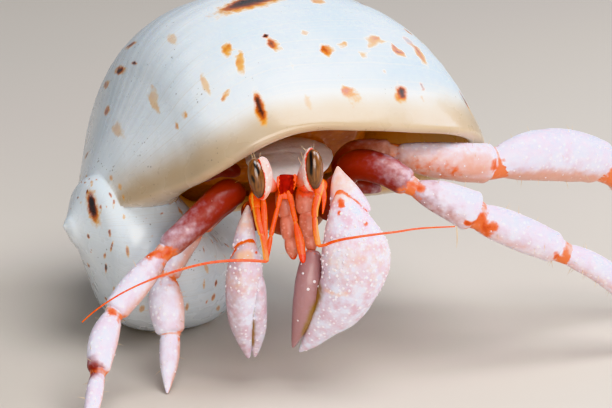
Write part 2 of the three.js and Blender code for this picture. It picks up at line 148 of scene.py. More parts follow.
# A closed tube over rings (count, sides, 3) with a tip at each end, or a point in its middle.
def tube(rings, fields=None, tips=None):
    count, sides = rings.shape[:2]
    first, final = tips or (rings[0].mean(0), rings[-1].mean(0))
    points = np.vstack([first, rings.reshape(-1, 3), final])
    j = np.arange(sides)
    k = (j + 1) % sides
    rows = 1 + np.arange(count - 1)[:, None] * sides
    quads = np.stack([rows + j, rows + k, rows + sides + k, rows + sides + j], -1).reshape(-1, 4)
    last = 1 + (count - 1) * sides
    faces = quads.tolist() + [(0, 1 + b, 1 + a) for a, b in zip(j.tolist(), k.tolist())]
    faces += [(last + a, last + b, len(points) - 1) for a, b in zip(j.tolist(), k.tolist())]
    kept = {}
    for name, grid in (fields or {}).items():
        grid = np.broadcast_to(grid, (count, sides))
        kept[name] = np.concatenate([[grid[0].mean()], grid.ravel(), [grid[-1].mean()]])
    return outward({"points": points, "faces": faces, "fields": kept})


# Stations are [x, y, z, half width, half thickness]. A round one leaves out its thickness.
def stationRows(stations):
    return np.array([(*row, row[3])[:5] for row in stations], float)


# A tapering body with rounded ends, blunter for a higher ends value, or one value for each end.
# shape(t, angle, points) gives a factor on the size, and each field's function gives its values.
# t runs from 0 to 1 along the body; angle 0 is the side, 90 the up side.
def limb(stations, up=(0, 0, 1), ends=3.0, sides=32, steps=30, shape=None, fields=None):
    stations = stationRows(stations)
    t = (1 - np.cos(np.pi * np.arange(1, steps) / steps)) / 2
    centre = curveAt(stations[:, :3], t, 0.5)
    ahead = unit(curveAt(stations[:, :3], t + 1e-3, 0.5) - curveAt(stations[:, :3], t - 1e-3, 0.5))
    side = unit(np.cross(ahead, np.array(up, float)))
    top = np.cross(side, ahead)
    near, far = ends if isinstance(ends, tuple) else (ends, ends)
    power = np.where(t < 0.5, near, far)
    blunt = (1 - np.abs(2 * t - 1) ** power) ** (1 / power)
    angle = 2 * np.pi * np.arange(sides) / sides
    wide, thick = ((curveAt(stations[:, k], t) * blunt)[:, None, None] for k in (3, 4))
    spoke = side[:, None] * wide * np.cos(angle)[None, :, None]
    spoke = spoke + top[:, None] * thick * np.sin(angle)[None, :, None]
    tGrid, degrees = np.meshgrid(t, np.degrees(angle), indexing="ij")
    if shape:
        spoke = spoke * shape(tGrid, degrees, centre[:, None] + spoke)[..., None]
    rings = centre[:, None] + spoke
    grids = {name: make(tGrid, degrees, rings) for name, make in (fields or {}).items()}
    return tube(rings, grids, (stations[0, :3], stations[-1, :3]))


def joined(forms):
    faces, start = [], 0
    for f in forms:
        faces += [tuple(i + start for i in face) for face in f["faces"]]
        start += len(f["points"])
    fields = {}
    for name in sorted({n for f in forms for n in f["fields"]}):
        values = [f["fields"].get(name, np.zeros(len(f["points"]))) for f in forms]
        fields[name] = np.concatenate(values)
    return {"points": np.vstack([f["points"] for f in forms]), "faces": faces, "fields": fields}


def toMesh(name, points, faces):
    mesh = bpy.data.meshes.new(name)
    mesh.from_pydata(np.asarray(points).tolist(), [], faces)
    mesh.update()
    return mesh


# For each point, which of the places is nearest and how far away it is.
def nearest(points, places):
    tree = KDTree(len(places))
    for i, p in enumerate(places):
        tree.insert(p, i)
    tree.balance()
    index, gap = zip(*[tree.find(p)[1:] for p in points])
    return list(index), np.array(gap)


def workingObject(data):
    working = bpy.data.objects.new("working", data)
    scene.collection.objects.link(working)
    return working


# What the first working object's modifiers make of it. The working objects are removed.
def applied(*objects):
    mesh = bpy.data.meshes.new_from_object(objects[0].evaluated_get(bpy.context.evaluated_depsgraph_get()))
    for thing in objects:
        bpy.data.objects.remove(thing)
    return mesh


# A form from a mesh, with each field taken from the nearest point of the forms that it came from.
def toForm(mesh, sources):
    points = np.empty(len(mesh.vertices) * 3)
    mesh.vertices.foreach_get("co", points)
    points = points.reshape(-1, 3)
    faces = [tuple(f.vertices) for f in mesh.polygons]
    bpy.data.meshes.remove(mesh)
    source = joined(sources)
    index = nearest(points, source["points"])[0]
    fields = {name: values[index] for name, values in source["fields"].items()}
    return outward({"points": points, "faces": faces, "fields": fields})


# The first form with the others added to it, or cut from it, as one closed skin.
def combined(forms, operation="UNION"):
    objects = [workingObject(toMesh("working", f["points"], f["faces"])) for f in forms]
    for other in objects[1:]:
        modifier = objects[0].modifiers.new("combine", "BOOLEAN")
        modifier.operation, modifier.solver, modifier.object = operation, "MANIFOLD", other
    result = toForm(applied(*objects), forms if operation == "UNION" else forms[:1])
    if len(result["faces"]) < 0.5 * len(forms[0]["faces"]):
        print("  a cut or union failed, kept as it was")
        return joined(forms) if operation == "UNION" else forms[0]
    return result


def addToObject(name, mesh, material, nodes=()):
    mesh.materials.clear()
    mesh.materials.append(material)
    piece = bpy.data.objects.new(name, mesh)
    scene.collection.objects.link(piece)
    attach(piece, "root")
    if nodes:
        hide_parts(*nodes)
    return piece


# Places a form on the crab and makes it a piece of the visual model.
def makePiece(name, form, material, nodes=(), crease=None):
    mesh = toMesh(name, (form["points"] + underEyes) * metresPerMm, form["faces"])
    for field, values in form["fields"].items():
        mesh.attributes.new(field, "FLOAT", "POINT").data.foreach_set("value", values.astype(np.float32))
    mesh.shade_smooth()
    if crease:
        mesh.set_sharp_from_angle(angle=math.radians(crease))
    return addToObject(name, mesh, material, nodes)


# Distance in mm from points to a line through places, such as a coloured band on a limb.
def nearLine(points, line):
    line = np.asarray(line, float)
    best = np.full(len(points), 1e9)
    for a, b in zip(line[:-1], line[1:]) if len(line) > 1 else [(line[0], line[0] + 1e-6)]:
        s = np.clip(((points - a) @ (b - a)) / ((b - a) @ (b - a)), 0, 1)
        best = np.minimum(best, np.linalg.norm(points - a - s[:, None] * (b - a), axis=1))
    return best


# Strength that passes 0.5 at a spot's or band's edge, for lines given as ([places], half width)
# and, if it is weaker, its level. With onSkin, each place first moves to the nearest point there.
def spotField(points, spots, onSkin=False):
    strength = np.zeros(len(points))
    for line, half, *level in spots:
        if onSkin:
            line = [points[np.argmin(np.linalg.norm(points - np.array(place), axis=1))] for place in line]
        near = (1 - nearLine(points, line) / (2 * half)) * (level[0] if level else 1)
        strength = np.maximum(strength, near)
    return np.clip(strength, 0, 1)


# Adds to a form's field where the new values are higher.
def raiseField(form, field, values):
    form["fields"][field] = np.maximum(form["fields"].get(field, 0), values)


# what repeats, made with Geometry Nodes

# An empty tree with named inputs, what adds nodes to it, and its inputs' sockets.
def newTree(name, inputs):
    tree = bpy.data.node_groups.new(name, "GeometryNodeTree")
    tree.interface.new_socket("Geometry", in_out="INPUT", socket_type="NodeSocketGeometry")
    for label, value in inputs.items():
        kind = "NodeSocketInt" if isinstance(value, int) else "NodeSocketFloat"
        tree.interface.new_socket(label, in_out="INPUT", socket_type=kind).default_value = value
    tree.interface.new_socket("Geometry", in_out="OUTPUT", socket_type="NodeSocketGeometry")
    add = partial(addNode, tree)
    return tree, add, {s.name: s for s in add("NodeGroupInput").outputs if s.name}


def endTree(tree, add, geometry, material):
    smooth = add("GeometryNodeSetShadeSmooth", {"Geometry": geometry})
    real = add("GeometryNodeRealizeInstances", {"Geometry": smooth})
    made = add("GeometryNodeSetMaterial", {"Geometry": real, "Material": material})
    add("NodeGroupOutput", {"Geometry": made})
    return tree


# Runs a tree on a mesh or curve with the given sizes and returns the result as a plain mesh.
def runTree(data, tree, values):
    target = workingObject(data)
    modifier = target.modifiers.new(tree.name, "NODES")
    modifier.node_group = tree
    for socket in tree.interface.items_tree:
        if socket.in_out == "INPUT" and socket.name in values:
            modifier[socket.identifier] = values[socket.name]
    return applied(target)


# Small round pearls, half sunk in a surface, thickest where its field "pearls" is high.
def pearlTree(material):
    tree, add, put = newTree("pearls", {
        "Gap": 0.0004, "Density": 8e6, "Size": 0.00009, "Flatness": 0.6, "Seed": 1})
    cover = add("GeometryNodeInputNamedAttribute", {"Name": "pearls"}, data_type="FLOAT")
    points = add("GeometryNodeDistributePointsOnFaces", {
        "Mesh": put["Geometry"], "Distance Min": put["Gap"], "Density Max": put["Density"],
        "Density Factor": cover, "Seed": put["Seed"]}, distribute_method="POISSON")
    ball = add("GeometryNodeMeshUVSphere", {"Segments": 8, "Rings": 5, "Radius": put["Size"]})
    spread = add("FunctionNodeRandomValue", {"Min": 0.6, "Max": 1.25, "Seed": put["Seed"]}, data_type="FLOAT")
    flat = add("ShaderNodeMath", {0: spread, 1: put["Flatness"]}, operation="MULTIPLY")
    scale = add("ShaderNodeCombineXYZ", {"X": spread, "Y": spread, "Z": flat})
    many = add("GeometryNodeInstanceOnPoints", {
        "Points": points.outputs["Points"], "Instance": ball.outputs["Mesh"],
        "Rotation": points.outputs["Rotation"], "Scale": scale})
    return endTree(tree, add, many, material)


# Stiff bristles that stand on a surface and lean at random, where its field "hairs" is high.
def bristleTree(material):
    tree, add, put = newTree("bristles", {
        "Density": 2e6, "Length": 0.0005, "Half thickness": 0.00002, "Lean": 0.5, "Seed": 1})
    cover = add("GeometryNodeInputNamedAttribute", {"Name": "hairs"}, data_type="FLOAT")
    dense = add("ShaderNodeMath", {0: cover, 1: put["Density"]}, operation="MULTIPLY")
    points = add("GeometryNodeDistributePointsOnFaces", {
        "Mesh": put["Geometry"], "Density": dense, "Seed": put["Seed"]})
    hair = add("GeometryNodeMeshCone", {
        "Vertices": 5, "Side Segments": 2, "Radius Top": 0.000003, "Radius Bottom": put["Half thickness"],
        "Depth": put["Length"]})
    low = add("ShaderNodeMath", {0: put["Lean"], 1: -1.0}, operation="MULTIPLY")
    lean = [add("FunctionNodeRandomValue", {"Min": low, "Max": put["Lean"], "Seed": seed}, data_type="FLOAT")
            for seed in (3, 4)]
    tilt = add("ShaderNodeCombineXYZ", {"X": lean[0], "Y": lean[1]})
    turned = add("FunctionNodeRotateRotation", {
        "Rotation": points.outputs["Rotation"], "Rotate By": tilt}, rotation_space="LOCAL")
    size = add("FunctionNodeRandomValue", {"Min": 0.45, "Max": 1.2, "Seed": 5}, data_type="FLOAT")
    many = add("GeometryNodeInstanceOnPoints", {
        "Points": points.outputs["Points"], "Instance": hair.outputs["Mesh"], "Rotation": turned,
        "Scale": size})
    return endTree(tree, add, many, material)


# A whip of short ring joints that thins to its tip, along a curve.
def whipTree(material):
    tree, add, put = newTree("ringedWhip", {
        "Half thickness": 0.000085, "Tip": 0.45, "Ring length": 0.00022, "Bulge": 0.12})
    step = add("ShaderNodeMath", {0: put["Ring length"], 1: 6.0}, operation="DIVIDE")
    line = add("GeometryNodeResampleCurve", {"Curve": put["Geometry"], "Length": step}, mode="LENGTH")
    along = add("GeometryNodeSplineParameter")
    share = add("ShaderNodeMapRange", {"Value": along.outputs["Factor"], "To Min": 1.0, "To Max": put["Tip"]})
    size = add("ShaderNodeMath", {0: share, 1: put["Half thickness"]}, operation="MULTIPLY")
    turns = add("ShaderNodeMath", {0: along.outputs["Length"], 1: put["Ring length"]}, operation="DIVIDE")
    saw = add("ShaderNodeMath", {0: turns}, operation="FRACT")  # each ring flares to its far end
    swell = add("ShaderNodeMath", {0: saw, 1: put["Bulge"], 2: 1.0}, operation="MULTIPLY_ADD")
    radius = add("ShaderNodeMath", {0: size, 1: swell}, operation="MULTIPLY")
    ring = add("GeometryNodeCurvePrimitiveCircle", {"Resolution": 12, "Radius": 1.0})
    skin = add("GeometryNodeCurveToMesh", {
        "Curve": line, "Profile Curve": ring.outputs["Curve"], "Scale": radius, "Fill Caps": True})
    return endTree(tree, add, skin, material)


# Finishes. Each starts from what the real surface is.

# Crab shell-skin: thin chalky cuticle with a waxy surface. Pale, a little see-through, with
# orange at its joints. Its colours are the ground, the mottling, the flecks, then what the
# fields of the same names bring, and the core of the strongest stains. The darker tint paints
# shade; the deep colour and the blush are partly the skin's own colours and partly painted
# shade, and the blush also paints a highlight line on the antenna bases.
cuticleColours = ("pale", "tint", "fleck", "tinge", "blush", "deep", "joint", "stain", "core")
cuticleSizes = ("mottleMm", "fleckMm", "grainMm", "bumpMm", "roughness", "glow", "coat", "shine")
cuticleLooks = {
    "limbCuticle": (
        "#e3e3f2 #d5c6d6 #f4f4fb #d6a3a8 #dca592 #861e06 #e27842 #de6a30 #c64a18",
        1.1, 0.42, 0.2, 0.035, 0.42, 0.3, 0.25, 0.5),
    "clawCuticle": (
        "#dee0ef #d3b6c6 #f7f6fc #a87e80 #eec2a4 #94703c #f06c14 #ee6818 #e05408",
        0.8, 0.34, 0.17, 0.03, 0.36, 0.3, 0.25, 0.5),
    "eyestalkCuticle": (
        "#f2dcd8 #ecc0b6 #fffafa #e8b4a8 #f2a58c #e8552a #ee3604 #ee3604 #c02206",
        0.5, 0.3, 0.12, 0.012, 0.35, 0.35, 0.25, 0.5),
    "feelerCuticle": (
        "#f66600 #ee4c00 #ff8a14 #f86a10 #ffb04e #b42a00 #ff8c1e #f03c00 #cc2a00",
        0.45, 0.25, 0.08, 0.008, 0.3, 0.3, 0.12, 0.35),
    "mouthpartCuticle": (
        "#dc8c76 #cb745c #e8a797 #b8503c #dc8470 #8e2c12 #d2603a #dc4a1c #a82c10",
        0.5, 0.28, 0.1, 0.012, 0.4, 0.4, 0.25, 0.5),
    "faceCuticle": (
        "#960c00 #740600 #b01c04 #c01404 #ff6a28 #6e0802 #ff6000 #ff5a10 #ff6a18",
        0.35, 0.3, 0.1, 0.01, 0.6, 0.0, 0.0, 0.15),
    "shieldCuticle": (
        "#fbf0ef #eee0de #f2e9e8 #a08a88 #e6d6cf #8a4a34 #c58a6c #8c5a48 #6e3c2c",
        0.9, 0.4, 0.16, 0.015, 0.5, 0.25, 0.25, 0.5),
    "softBodySkin": (
        "#b8682a #9c4e1c #b4765a #8a4c40 #c4a098 #a8320c #a8492c #8e3a24 #6e2010",
        1.4, 0.6, 0.3, 0.05, 0.48, 0.4, 0.25, 0.5)}
# Strength at which each field starts to show and is full, and how ragged its edge is.
cuticleFields = {"tinge": (0.1, 0.9, 0.6), "blush": (0.15, 0.9, 0.6), "deep": (0.1, 0.85, 0.6),
                 "joint": (0.36, 0.7, 1.2), "stain": (0.34, 0.72, 1.1)}


def cuticle(name, colours, *sizes):
    look = dict(zip(cuticleColours + cuticleSizes, (*colours.split(), *sizes)))
    material, add, place = startMaterial(name)
    scale = perMm / look["mottleMm"]
    mottle = add("ShaderNodeTexNoise", {"Vector": place, "Scale": scale, "Detail": 4.0, "Roughness": 0.6})
    ragged = add("ShaderNodeTexNoise", {"Vector": place, "Scale": scale * 2.2, "Detail": 3.0})
    flecks = add("ShaderNodeTexVoronoi", {"Vector": place, "Scale": perMm / look["fleckMm"]})
    grain = add("ShaderNodeTexVoronoi", {
        "Vector": place, "Scale": perMm / look["grainMm"]}, feature="SMOOTH_F1")
    patches = add("ShaderNodeMapRange", {"Value": mottle, "From Min": 0.38, "From Max": 0.64})
    fleckSpots = add("ShaderNodeMapRange", {
        "Value": flecks.outputs["Distance"], "From Min": 0.3, "From Max": 0.16, "To Max": 0.75})
    layers = [(patches, "tint"), (fleckSpots, "fleck")]
    for field, (low, high, fray) in cuticleFields.items():
        edge = add("ShaderNodeMath", {0: ragged, 1: fray, 2: -0.5 * fray}, operation="MULTIPLY_ADD")
        share = add("ShaderNodeAttribute", attribute_name=field)
        wavy = add("ShaderNodeMath", {0: share.outputs["Fac"], 1: edge}, operation="ADD")
        mask = add("ShaderNodeMapRange", {
            "Value": wavy, "From Min": low, "From Max": high}, interpolation_type="SMOOTHSTEP")
        layers.append((mask, field))
    heart = add("ShaderNodeMapRange", {"Value": wavy, "From Min": 0.7, "From Max": 0.95})
    colour = look["pale"]
    for mask, over in layers + [(heart, "core")]:
        colour = add("ShaderNodeMix", {0: mask, 1: colour, 2: look[over]}, data_type="RGBA")
    worn = add("ShaderNodeMapRange", {
        "Value": ragged, "To Min": look["roughness"] - 0.1, "To Max": look["roughness"] + 0.12})
    relief = add("ShaderNodeMath", {
        0: grain.outputs["Distance"], 1: -0.8, 2: ragged}, operation="MULTIPLY_ADD")
    bump = add("ShaderNodeBump", {
        "Height": relief, "Strength": 0.6, "Distance": look["bumpMm"] * metresPerMm})
    skin = add("ShaderNodeBsdfPrincipled", {
        "Base Color": colour, "Roughness": worn, "IOR": 1.5, "Normal": bump,
        "Subsurface Weight": look["glow"], "Subsurface Radius": (1.0, 0.55, 0.4), "Subsurface Scale": 0.0002,
        "Specular IOR Level": look["shine"], "Coat Weight": look["coat"], "Coat Roughness": 0.25})
    add("ShaderNodeOutputMaterial", {"Surface": skin})
    return material


finish = {name: cuticle(name, *look) for name, look in cuticleLooks.items()}


# Snail shell: white porcelain-like aragonite, polished and a little see-through, with worn pits,
# fine growth lines, a cream lip, tan below and at the lip that is partly painted shade, an orange-brown
# inside darkened deeper in as painted shade, and rows of rust-coloured dashes.
porcelain = {
    "white": "#dde4ea", "cool": "#cdd9e2", "cream": "#bca98e", "tan": "#ab9578", "pit": "#857a6e",
    "speck": "#6e6660",
    "mark": [(0.0, "#dca838"), (0.22, "#d08a10"), (0.42, "#b05204"), (0.66, "#5c2406"), (0.88, "#1a0d0a")],
    "inside": [(0.0, "#dcb888"), (0.08, "#dcb888"), (0.22, "#d07c28"), (0.55, "#843e14")],
    # Noises: size in mm, detail and roughness.
    "cloud": (5, 4.0, 0.5), "sway": (3, 2.0, 0.5), "dusty": (1.6, 3.0, 0.5), "ragged": (0.45, 5.0, 0.65),
    # Worn pits and grains: size in mm, how dusty a patch has them, how wide and how dark they are.
    "wear": {"pit": (0.17, 0.45, 0.75, 0.02, 0.17, 0.12, 0.55),
             "speck": (0.3, 0.5, 0.66, 0.0, 0.24, 0.1, 0.7)},
    # Coloured fields: where their colour starts to show and is full.
    "shown": {"cream": (0.1, 0.95), "tan": (0.1, 0.95), "mark": (0.36, 0.68)},
    "growthPerDegree": 1.1, "bumpMm": 0.06}


def porcelainMaterial():
    look = porcelain
    material, add, place = startMaterial("shellPorcelain")
    field = {name: add("ShaderNodeAttribute", attribute_name=name).outputs["Fac"]
             for name in ("turn", "cream", "tan", "inside", "depth", "mark", "markDark", "markFade")}
    cloud, sway, dusty, ragged = (add("ShaderNodeTexNoise", {
        "Vector": place, "Scale": perMm / size, "Detail": detail, "Roughness": rough})
        for size, detail, rough in (look[k] for k in ("cloud", "sway", "dusty", "ragged")))
    broad = add("ShaderNodeMapRange", {"Value": cloud, "From Min": 0.35, "From Max": 0.65})
    lineAt = add("ShaderNodeMath", {
        0: field["turn"], 1: look["growthPerDegree"], 2: sway}, operation="MULTIPLY_ADD")
    growth = add("ShaderNodeTexNoise", {"W": lineAt, "Scale": 1.0, "Detail": 3.0}, noise_dimensions="1D")
    dusky = add("ShaderNodeMapRange", {"Value": growth, "From Min": 0.5, "From Max": 0.8, "To Max": 0.22})
    edge = add("ShaderNodeMath", {0: cloud, 1: 0.5, 2: -0.25}, operation="MULTIPLY_ADD")
    fray = add("ShaderNodeMath", {0: ragged, 1: 0.62, 2: -0.31}, operation="MULTIPLY_ADD")
    masks = {}
    for name, (low, high) in look["shown"].items():
        wavy = add("ShaderNodeMath", {0: field[name], 1: fray if name == "mark" else edge}, operation="ADD")
        masks[name] = add("ShaderNodeMapRange", {
            "Value": wavy, "From Min": low, "From Max": high}, interpolation_type="SMOOTHSTEP")
    for name, (size, clean, dirty, least, most, soft, dark) in look["wear"].items():
        cells = add("ShaderNodeTexVoronoi", {"Vector": place, "Scale": perMm / size})
        wide = add("ShaderNodeMapRange", {
            "Value": dusty, "From Min": clean, "From Max": dirty, "To Min": least, "To Max": most})
        gap = add("ShaderNodeMath", {0: wide, 1: cells.outputs["Distance"]}, operation="SUBTRACT")
        masks[name] = add("ShaderNodeMapRange", {"Value": gap, "From Max": soft, "To Max": dark})
    shade = add("ShaderNodeMath", {0: field["markDark"], 1: fray}, operation="ADD")
    stain = add("ShaderNodeValToRGB", {0: shade}, stops=look["mark"])
    covered = add("ShaderNodeMath", {0: masks["mark"], 1: field["markFade"]}, operation="MULTIPLY")
    # the inside: orange-brown near the mouth, painted darker deeper in as shade
    insideAndShade = add("ShaderNodeValToRGB", {0: field["depth"]}, stops=look["inside"])
    colour = look["white"]
    layers = [(broad, look["cool"]), (dusky, look["cream"])]
    layers += [(masks[name], look[name]) for name in ("cream", "tan", "pit", "speck")]
    layers += [(covered, stain.outputs["Color"]), (field["inside"], insideAndShade.outputs["Color"])]
    for mask, over in layers:
        colour = add("ShaderNodeMix", {0: mask, 1: colour, 2: over}, data_type="RGBA")
    dull = add("ShaderNodeMapRange", {"Value": dusty, "To Min": 0.16, "To Max": 0.42})
    sunk = add("ShaderNodeMath", {0: masks["pit"], 1: -1.0}, operation="MULTIPLY")
    lines = add("ShaderNodeMath", {0: growth, 1: 0.16, 2: sunk}, operation="MULTIPLY_ADD")
    bump = add("ShaderNodeBump", {
        "Height": lines, "Strength": 0.35, "Distance": look["bumpMm"] * metresPerMm})
    skin = add("ShaderNodeBsdfPrincipled", {
        "Base Color": colour, "Roughness": dull, "IOR": 1.53, "Normal": bump,
        "Subsurface Weight": 0.15, "Subsurface Radius": (1.0, 0.75, 0.5), "Subsurface Scale": 0.0002,
        "Coat Weight": 0.35, "Coat Roughness": 0.14})
    add("ShaderNodeOutputMaterial", {"Surface": skin})
    return material


# The round last whorl, wound on an axis from the tip towards the crab's left. Turn 0 is the
# mouth and negative turns run back to the spire. Shares are of half the mouth's height.
shellShape = {
    "tip": (-14.25, 9.35, 8.0), "yaw": -23.7, "pitch": -1.7, "roll": 32.0, "mouth": 8.36, "offset": 0.88,
    "along": 1.25, "rise": 1.835, "fullness": 0.82, "lateGrowth": 1.56, "earlyGrowth": 5.08,
    "change": -115.0, "blend": 30.0, "spireSlope": 0.5, "spireReach": 1.35, "sutureStep": 0.09,
    "innerFill": 0.9, "columella": 0.11, "cavityEnd": -235.0, "lastWhorlStart": -330.0,
    "spireEnd": -290.0, "start": -1260.0, "spirePart": 330.0, "lap": 10.0, "lipBulgeMm": 0.42,
    "ripple": 0.0018,
    # Widths of the cream band behind the lip, of the painted shade on the lower side and of the tan at the
    # lip, which is partly painted shade, and how far in the inside is darkest, which is painted shade.
    "creamMm": 3.8, "lowShadeMm": 9, "lipTanMm": 2.4, "deepMm": 22,
    # How far the lip runs on past turn 0, in degrees, at angles round the mouth.
    "lipAngle": [0, 15, 40, 90, 200, 270, 287, 300, 310, 320, 330, 340, 350, 360],
    "lipTurn": [-3.2, -2.0, -1.8, -1.8, -1.8, 0.5, 1.0, 0.0, -1.4, -3.0, -4.3, -5.0, -4.6, -3.2]}


def shellAxes():
    yaw, pitch, roll = (math.radians(shellShape[k]) for k in ("yaw", "pitch", "roll"))
    ahead = np.array([math.cos(yaw) * math.cos(pitch), -math.sin(yaw) * math.cos(pitch), math.sin(pitch)])
    front = np.array([0, -1.0, 0])
    front = unit(front - ahead * (front @ ahead))
    mouthward = front * math.cos(roll) + np.cross(front, ahead) * math.sin(roll)
    return ahead, mouthward, np.cross(ahead, mouthward)


shellTip = np.array(shellShape["tip"])
ahead, mouthward, across = shellAxes()


# Distance from the axis, in mm.
def fromAxis(points):
    return np.linalg.norm(np.cross(points - shellTip, ahead), axis=-1)


def spiralSize(turn):
    s = shellShape
    late, early = math.log(s["lateGrowth"]) / 360, math.log(s["earlyGrowth"]) / 360
    past = lambda degrees: s["blend"] * np.log1p(np.exp(degrees / s["blend"]))
    return s["mouth"] * np.exp(late * turn - (early - late) * (past(s["change"] - turn) - past(s["change"])))


# Places on the whorl: turn along it and angle round it in degrees, fill 0 its middle, 1 outside.
def spiralPoint(turn, angle, fill=1.0, least=0.03):
    s = shellShape
    turn, angle, fill = np.broadcast_arrays(np.asarray(turn, float), np.asarray(angle, float) % 360, fill)
    size = spiralSize(turn)
    square = lambda v: np.sign(v) * np.abs(v) ** s["fullness"]
    radius = np.maximum(s["offset"] + fill * square(np.cos(np.radians(angle))), least)
    height = s["rise"] + fill * s["along"] * square(np.sin(np.radians(angle)))
    inset = s["sutureStep"] * (1 - radius / s["spireReach"])
    onSpire = (fill == 1) & (angle > 180) & (radius < s["spireReach"])
    height = np.where(onSpire, np.minimum(height, s["spireSlope"] * radius + inset), height)
    around = mouthward * np.cos(np.radians(turn))[..., None] + across * np.sin(np.radians(turn))[..., None]
    return shellTip + (size * height)[..., None] * ahead + (size * radius)[..., None] * around


# Fine growth ripples on the outside, closer together near the lip.
def rippled(turn, angle):
    points = spiralPoint(turn, angle)
    middle = spiralPoint(turn, angle, 0.0)
    waves = enumerate(((0.9, 0), (1.7, 2), (2.9, 4), (4.3, 1)), 1)
    wave = sum(np.sin(turn * often + start) / n for n, (often, start) in waves)
    wave = wave * (0.6 + 0.4 * uneven(points, 6.0, 3)) + 1.4 * uneven(points, 7.0, 8)
    reach = fromAxis(points) / spiralSize(turn)
    wave = wave * (0.12 + 0.88 * ramp(reach, 0.3, 1.7))  # finer where the lines draw together
    return middle + (points - middle) * (1 + shellShape["ripple"] * wave)[..., None]


def whorlForm(start, end, steps=110, sides=72):
    turn, angle = np.meshgrid(np.linspace(start, end, steps), np.arange(sides) * 360 / sides, indexing="ij")
    return tube(rippled(turn, angle), {"turn": turn, "angle": angle, "inside": 0})


def lastWhorl(sides=144, outSteps=270, inSteps=84, lipSteps=8):
    s = shellShape
    angle = np.arange(sides) * 360 / sides
    outTurn = np.linspace(s["lastWhorlStart"], 0, outSteps)
    inTurn = np.linspace(0, s["cavityEnd"], inSteps)
    lipShift = np.interp(angle, s["lipAngle"], s["lipTurn"])
    lipShift = sum(np.roll(lipShift, k) for k in (0, 1, -1, 2, -2)) / 5
    onLip = lambda turn: turn[:, None] + lipShift * ramp(turn[:, None], -50, 0)
    outGrid = rippled(onLip(outTurn), np.broadcast_to(angle, (outSteps, sides)))
    inFill = s["innerFill"] * np.minimum(1, 0.25 + (inTurn - s["cavityEnd"]) / 45)
    inGrid = spiralPoint(onLip(inTurn), angle[None, :], inFill[:, None], s["columella"])
    onward = unit(spiralPoint(lipShift + 1.0, angle) - spiralPoint(lipShift - 1.0, angle))
    wall = np.linalg.norm(outGrid[-1] - inGrid[0], axis=1, keepdims=True)
    share = (np.arange(1, lipSteps) / lipSteps)[:, None, None]
    bulge = np.minimum(wall * 0.5, s["lipBulgeMm"]) * np.sin(math.pi * share)
    blend = (1 - np.cos(math.pi * share)) / 2
    lip = outGrid[-1] * (1 - blend) + inGrid[0] * blend + onward * bulge
    turns = np.concatenate([outTurn, np.zeros(lipSteps - 1), inTurn])[:, None]
    inside = np.concatenate([np.zeros(outSteps), np.linspace(0.1, 0.9, lipSteps - 1), np.ones(inSteps)])
    return tube(np.concatenate([outGrid, lip, inGrid]),
                {"turn": turns, "angle": angle[None, :], "inside": inside[:, None]})


# Dashes: [turn, angle, half length and half width in mm, darkness, strength, slant in degrees].
# They lie along the spiral in rows that follow the lip. The front ones are listed one by one.
shellMarks = {
    "placed": [[-11, 327.5, 1.3, 0.34, 0.82, 1.0, 0], [-10, 12, 0.72, 0.44, 0.9, 1.0, -18],
               [-11.5, 357.5, 0.5, 0.32, 0.5, 1.0, 8], [-9.3, 359, 0.66, 0.4, 0.36, 1.0, 0],
               [-12, 349, 0.34, 0.15, 0.45, 0.9, 0], [-10, 345, 0.55, 0.2, 0.1, 0.45, 0],
               [-18, 316, 0.24, 0.4, 0.42, 0.85, 35], [-20, 294, 0.34, 0.22, 0.4, 0.8, 20],
               [-19, 287.5, 0.3, 0.18, 0.35, 0.8, 20], [-24.5, 310, 1.0, 0.24, 0.12, 0.6, 0],
               [-32, 326, 0.6, 0.36, 0.4, 0.95, -15], [-26, 328, 1.0, 0.3, 0.22, 0.9, -14],
               [-32, 342, 0.3, 0.24, 0.95, 1.0, 0], [-28.5, 343, 0.75, 0.36, 0.62, 0.95, 12],
               [-24, 357.5, 0.62, 0.34, 0.5, 1.0, 0], [-25.5, 1.5, 0.3, 0.5, 0.3, 0.8, 30],
               [-22, 6, 0.5, 0.26, 0.3, 0.8, 0], [-27, 13, 0.5, 0.6, 0.34, 0.7, 30],
               [-23, 21, 0.36, 0.5, 0.55, 0.8, -30], [-29, 31, 0.5, 0.4, 0.85, 0.45, 0],
               [-11.5, 22, 0.95, 0.15, 0.7, 0.6, -20], [-31, 355, 0.3, 0.2, 0.2, 0.6, 0],
               [-16, 345, 0.08, 0.36, 0.45, 0.8, 5], [-17, 358, 0.13, 0.13, 1.0, 1.0, 0],
               [-21, 346, 0.4, 0.2, 0.3, 0.5, 0], [-16, 9, 0.4, 0.22, 0.3, 0.5, 0],
               [-7, 349, 0.1, 0.1, 0.8, 0.5, 0], [-10, 238, 1.3, 0.5, 0.95, 0.95, 0],
               [-50, 348.5, 1.1, 2.5, 0.85, 0.95, 4], [-40, 286, 0.8, 0.25, 0.15, 0.5, 0],
               [-50, 311, 0.8, 0.3, 0.15, 0.5, 0], [-54, 268, 1.2, 0.4, 0.2, 0.5, 0],
               [-46, 6, 0.5, 0.5, 0.4, 0.8, 0], [-25.5, 361, 0.3, 0.16, 0.12, 0.6, 40],
               [-27.5, 376, 0.5, 0.16, 0.4, 0.8, 65], [-24.5, 380, 0.5, 0.16, 0.5, 0.8, 10],
               [-24, 369, 0.5, 0.18, 0.16, 0.7, -30], [-12.3, 348.5, 0.16, 0.13, 0.3, 0.9, 0],
               [-15.5, 356.5, 0.06, 0.26, 0.4, 0.7, 0], [-6.5, 348.5, 0.07, 0.08, 0.9, 0.7, 0],
               [-37, 282.5, 1.1, 0.24, 0.1, 0.6, 0]],
    "firstRow": -10.0, "lastRow": -620.0, "rowGap": 13.5, "kept": 0.62, "angleGap": 15.0,
    "placedBack": -58.0, "placedFrom": 225.0, "placedTo": 392.0, "clearOfAxis": 0.55, "seed": 21}


